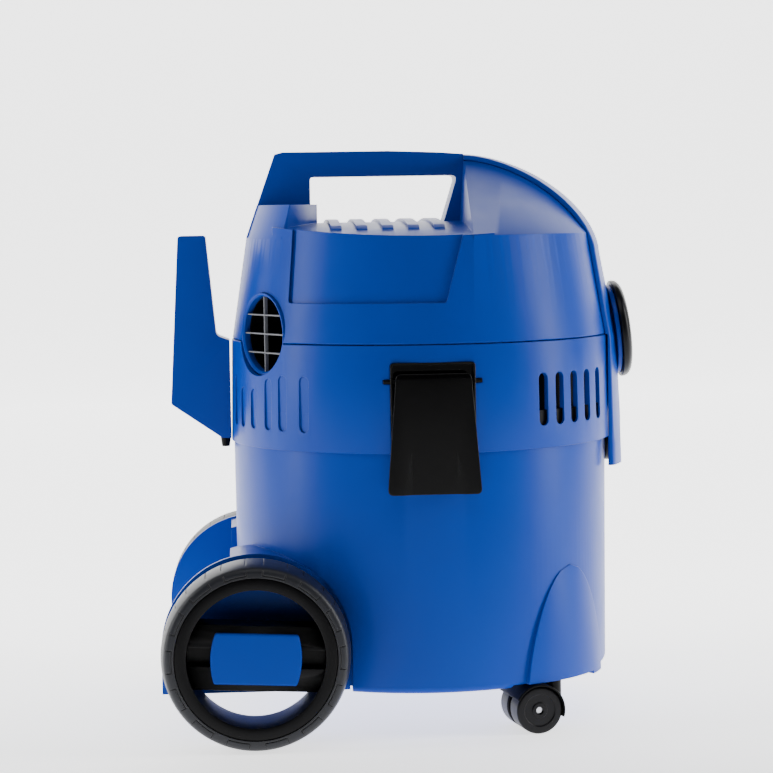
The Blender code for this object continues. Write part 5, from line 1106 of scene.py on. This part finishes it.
def caster_place(side):
    stem = caster_stem(side)
    turn = Matrix.Rotation(math.pi - side * CASTER_YAW, 4, "Z")
    return Matrix.Translation((stem.x, stem.y, 0)) @ turn @ Matrix.Translation((15.9 * MM, 0, 17.5 * MM))


def make_caster(name, side):
    radius, half, web = 17.5 * MM, 21.5 * MM, 2.6 * MM
    outer, trail, top = radius + 1.9 * MM, 15.9 * MM, FLOOR_UNDER_Z - 0.6 * MM
    hood = bevelled(rod("hood", (0, -half, 0), (0, half, 0), outer, 96), 0.8 * MM, 3)
    hood = join(hood, rod("neck", (-trail, 0, 0), (-trail, 0, top - radius), 7.3 * MM),
                rod("pin", (-trail, 0, 0), (-trail, 0, FLOOR_UNDER_Z + 20 * MM - radius), 4.7 * MM))
    for way in (-1, 1):
        low, high = sorted((way * web, way * (half + WALL)))
        hood = cut(hood, rod("space", (0, low, 0), (0, high, 0), radius + 0.6 * MM, 96))
    reach = 2 * outer
    hood = cut(hood, box("floor_cut", (-reach, -reach, -reach), (reach, reach, -5.4 * MM)),
               box("back_cut", (0.35 * outer, -reach, -reach), (reach, reach, 0.45 * outer)),
               rod("bore", (0, -reach, 0), (0, reach, 0), 2.9 * MM))
    show(placed(hood, caster_place(side)), "caster_fork_" + name, "caster_" + name, finishes()["black"],
         ["caster_hood_" + name])
    near, far = web + 0.6 * MM, half - 1.5 * MM
    for label, way in (("inner", -side), ("outer", side)):
        profile = []
        for i in range(7):
            turn = math.pi / 2 * i / 6
            profile.append((radius - 1.8 * MM * (1 - math.sin(turn)), far - 1.8 * MM * (1 - math.cos(turn))))
        profile += [(radius, near + 0.9 * MM), (radius - 0.9 * MM, near), (2.9 * MM, near), (2.9 * MM, far),
                    (5.5 * MM, far), (6.0 * MM, far - 0.9 * MM), (11.5 * MM, far - 0.9 * MM),
                    (12.0 * MM, far)]
        disc = placed(turned("disc", profile, 96, closed=True), Matrix.Rotation(way * math.pi / 2, 4, "X"))
        show(placed(disc, caster_place(side)), "caster_disc_" + label + "_" + name, "caster_wheels_" + name,
             finishes()["caster"], ["caster_wheel_" + label + "_" + name])


def make_exhaust():
    near, bore = SKIRT_RADIUS - 12 * MM + FIT, PORT_RADIUS - 2.4 * MM
    profile = [(PORT_RADIUS, near), (bore, near), (bore, near + 4.6 * MM), (bore + 1.4 * MM, near + 6 * MM),
               (PORT_RADIUS, near + 6 * MM)]
    bezel = on_port(turned("bezel", profile, 96, closed=True))
    show(bezel, "exhaust_bezel", "head", finishes()["blue"], [])
    upright = box("upright", (-bore - 0.3 * MM, -0.5 * MM, near + 1 * MM),
                  (bore + 0.3 * MM, 0.5 * MM, near + 4 * MM))
    bar = box("bar", (-0.5 * MM, -bore - 0.3 * MM, near + 1.2 * MM),
              (0.5 * MM, bore + 0.3 * MM, near + 3.8 * MM))
    bar = placed(bar, Matrix.Translation((-0.5 * bore, 0, 0)))
    bars = repeated(bar, 3, shift=(0.5 * bore, 0, 0), material=finishes()["grille"])
    grid = join(upright, bars)
    grid = combine(grid, "INTERSECT",
                   [rod("trim", (0, 0, near - WALL), (0, 0, near + 3 * WALL), bore + 0.3 * MM, 96)])
    show(on_port(grid), "exhaust_bars", "head", finishes()["grille"], ["exhaust_grille"])


NODE_FINISH = {
    "motor_plate": "black", "exhaust_duct": "black", "impeller": "black", "filter_end_cap": "black",
    "cord_gland": "black", "inlet_nut": "black", "motor_housing": "grey", "fan_cover": "grey",
    "switch_body": "grey", "float_cage": "grey", "container_seal": "seal", "motor_mount_lower": "seal",
    "motor_mount_upper": "seal", "latch_pin_right": "black", "latch_pin_left": "black", "armature": "copper",
    "filter_element": "paper", "float": "natural",
}


def dress_nodes():
    """Give each carried-over node its finish."""
    for name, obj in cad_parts.items():
        finish = NODE_FINISH.get(name, "steel")
        obj.data.materials.clear()
        obj.data.materials.append(finishes()[finish])


# ---------------------------------------------------------------- stage

CAMERA_PLACE = ((0.998058, 0.020259, -0.0589026, -0.114675),
                (-0.060242, 0.073521, -0.9954725, -1.80749),
                (-0.015837, 0.997088, 0.0745989, 0.38378),
                (0, 0, 0, 1))
LENS = 108.876
STAGE_GLOW = 2.6                                   # how brightly the paper backdrop shines by itself


def add_light(name, place, target, size, power):
    data = bpy.data.lights.new(name, "AREA")
    data.shape = "RECTANGLE"
    data.size, data.size_y = size
    data.energy = power
    light = bpy.data.objects.new(name, data)
    light.location = place
    light.rotation_euler = (Vector(target) - Vector(place)).to_track_quat("-Z", "Y").to_euler()
    bpy.context.scene.collection.objects.link(light)


def make_stage():
    profile = [(-6.0, 0.0), (3.0, 0.0)] + arc((3.0, 1.5), 1.5, -90, 0, 16) + [(4.5, 6.0)]
    shape = bmesh.new()
    rows = []
    for y, z in profile:
        rows.append([shape.verts.new((x, y, z)) for x in (-8.0, 8.0)])
    for row, following in zip(rows, rows[1:]):
        shape.faces.new((row[0], row[1], following[1], following[0]))
    floor = from_bmesh("floor", shape)
    floor.data.shade_smooth()
    finish = Finish("floor_paper")
    drift = finish.noise(3.0, 2.0)
    finish.feed("Base Color", finish.blend(drift, (0.90, 0.90, 0.905, 1), (0.93, 0.93, 0.935, 1)))
    finish.feed("Roughness", drift * 0.1 + 0.6)
    # Painted light: the floor and backdrop glow by themselves, grey at the front rising to white behind the
    # vacuum, a painted falloff of studio light; the glow lights the vacuum too.
    spot = finish.node("ShaderNodeSeparateXYZ", None, {0: finish.place})
    rise = finish.node("ShaderNodeMapRange", {"interpolation_type": "SMOOTHSTEP"},
                       {"Value": spot.outputs["Y"], "From Min": -1.0, "From Max": 0.6, "To Min": 0.0,
                        "To Max": 1.0})
    glow = Amount(finish, rise.outputs["Result"])
    finish.feed("Emission Color", finish.blend(glow, (0.12, 0.12, 0.12, 1), (1, 1, 1, 1)))
    finish.feed("Emission Strength", STAGE_GLOW)
    floor.data.materials.append(finish.material)

    world = bpy.data.worlds.new("studio")
    world.use_nodes = True
    world.node_tree.nodes["Background"].inputs["Color"].default_value = (1, 1, 1, 1)
    world.node_tree.nodes["Background"].inputs["Strength"].default_value = 0.06
    bpy.context.scene.world = world
    add_light("left_box", (-1.8, -0.25, 0.8), (0, 0, 0.25), (0.5, 1.5), 24)
    add_light("right_box", (1.8, -0.35, 0.8), (0, 0, 0.25), (0.5, 1.5), 30)
    add_light("top_box", (0.0, -1.2, 2.3), (0, 0, 0.25), (1.8, 1.2), 13)

    data = bpy.data.cameras.new("camera")
    data.lens = LENS
    data.sensor_width = 36.0
    data.clip_end = 60.0
    camera = bpy.data.objects.new("camera", data)
    camera.matrix_world = Matrix(CAMERA_PLACE)
    bpy.context.scene.collection.objects.link(camera)
    bpy.context.scene.camera = camera


# ---------------------------------------------------------------- operators and panel

class VacuumStep:
    bl_options = {"REGISTER", "UNDO"}


class VACUUM_OT_tub(VacuumStep, bpy.types.Operator):
    """Build the tub with its wheel housings and caster bulges, and the inlet socket"""
    bl_idname = "vacuum.tub"
    bl_label = "Tub and Inlet"

    def execute(self, context):
        make_tub()
        make_inlet()
        return {"FINISHED"}


class VACUUM_OT_head(VacuumStep, bpy.types.Operator):
    """Build the motor head's louvred ring, its top with handle and ribs, and the exhaust"""
    bl_idname = "vacuum.head"
    bl_label = "Motor Head"

    def execute(self, context):
        make_head_base()
        make_louvre_shade()
        make_head_cover()
        make_deck_ribs()
        make_exhaust()
        return {"FINISHED"}


class VACUUM_OT_front(VacuumStep, bpy.types.Operator):
    """Build the front panel and the power knob"""
    bl_idname = "vacuum.front"
    bl_label = "Front Panel and Knob"

    def execute(self, context):
        make_fascia()
        make_knob()
        return {"FINISHED"}


class VACUUM_OT_latches(VacuumStep, bpy.types.Operator):
    """Build the two head latches and the rear cord hook"""
    bl_idname = "vacuum.latches"
    bl_label = "Latches and Hook"

    def execute(self, context):
        for name, side in SIDES:
            make_latch_recess_shade(name, side)
            make_latch(name, side)
        make_hook()
        return {"FINISHED"}


class VACUUM_OT_wheels(VacuumStep, bpy.types.Operator):
    """Build the large rear wheels with tyres, discs and hub caps"""
    bl_idname = "vacuum.wheels"
    bl_label = "Rear Wheels"

    def execute(self, context):
        for name, side in SIDES:
            make_tyre(name, side)
            make_rim(name, side)
        return {"FINISHED"}


class VACUUM_OT_casters(VacuumStep, bpy.types.Operator):
    """Build the twin-wheel front casters"""
    bl_idname = "vacuum.casters"
    bl_label = "Casters"

    def execute(self, context):
        for name, side in SIDES:
            make_caster(name, side)
        return {"FINISHED"}


class VACUUM_OT_finishes(VacuumStep, bpy.types.Operator):
    """Dress the motor, filter, axles and screws that come with the frame"""
    bl_idname = "vacuum.finishes"
    bl_label = "Inner Finishes"

    def execute(self, context):
        dress_nodes()
        return {"FINISHED"}


class VACUUM_OT_stage(VacuumStep, bpy.types.Operator):
    """Set up the pale floor, the soft lights and the camera"""
    bl_idname = "vacuum.stage"
    bl_label = "Stage"

    def execute(self, context):
        make_stage()
        return {"FINISHED"}


STEPS = (VACUUM_OT_finishes, VACUUM_OT_tub, VACUUM_OT_head, VACUUM_OT_front, VACUUM_OT_latches,
         VACUUM_OT_wheels,
         VACUUM_OT_casters, VACUUM_OT_stage)


class VACUUM_PT_panel(bpy.types.Panel):
    """Settings and building steps of the shop vacuum"""
    bl_idname = "VACUUM_PT_panel"
    bl_label = "Shop Vacuum"
    bl_space_type = "VIEW_3D"
    bl_region_type = "UI"
    bl_category = "Vacuum"

    def draw(self, context):
        for name in VacuumSettings.__annotations__:
            self.layout.prop(context.scene.vacuum, name)
        for step in STEPS:
            self.layout.operator(step.bl_idname)


CLASSES = (VacuumSettings, *STEPS, VACUUM_PT_panel)


def register():
    for item in CLASSES:
        bpy.utils.register_class(item)
    bpy.types.Scene.vacuum = bpy.props.PointerProperty(type=VacuumSettings)


def unregister():
    del bpy.types.Scene.vacuum
    for item in reversed(CLASSES):
        bpy.utils.unregister_class(item)


def main():
    register()
    for step in STEPS:
        group, name = step.bl_idname.split(".")
        getattr(getattr(bpy.ops, group), name)()


if __name__ == "__main__":
    main()
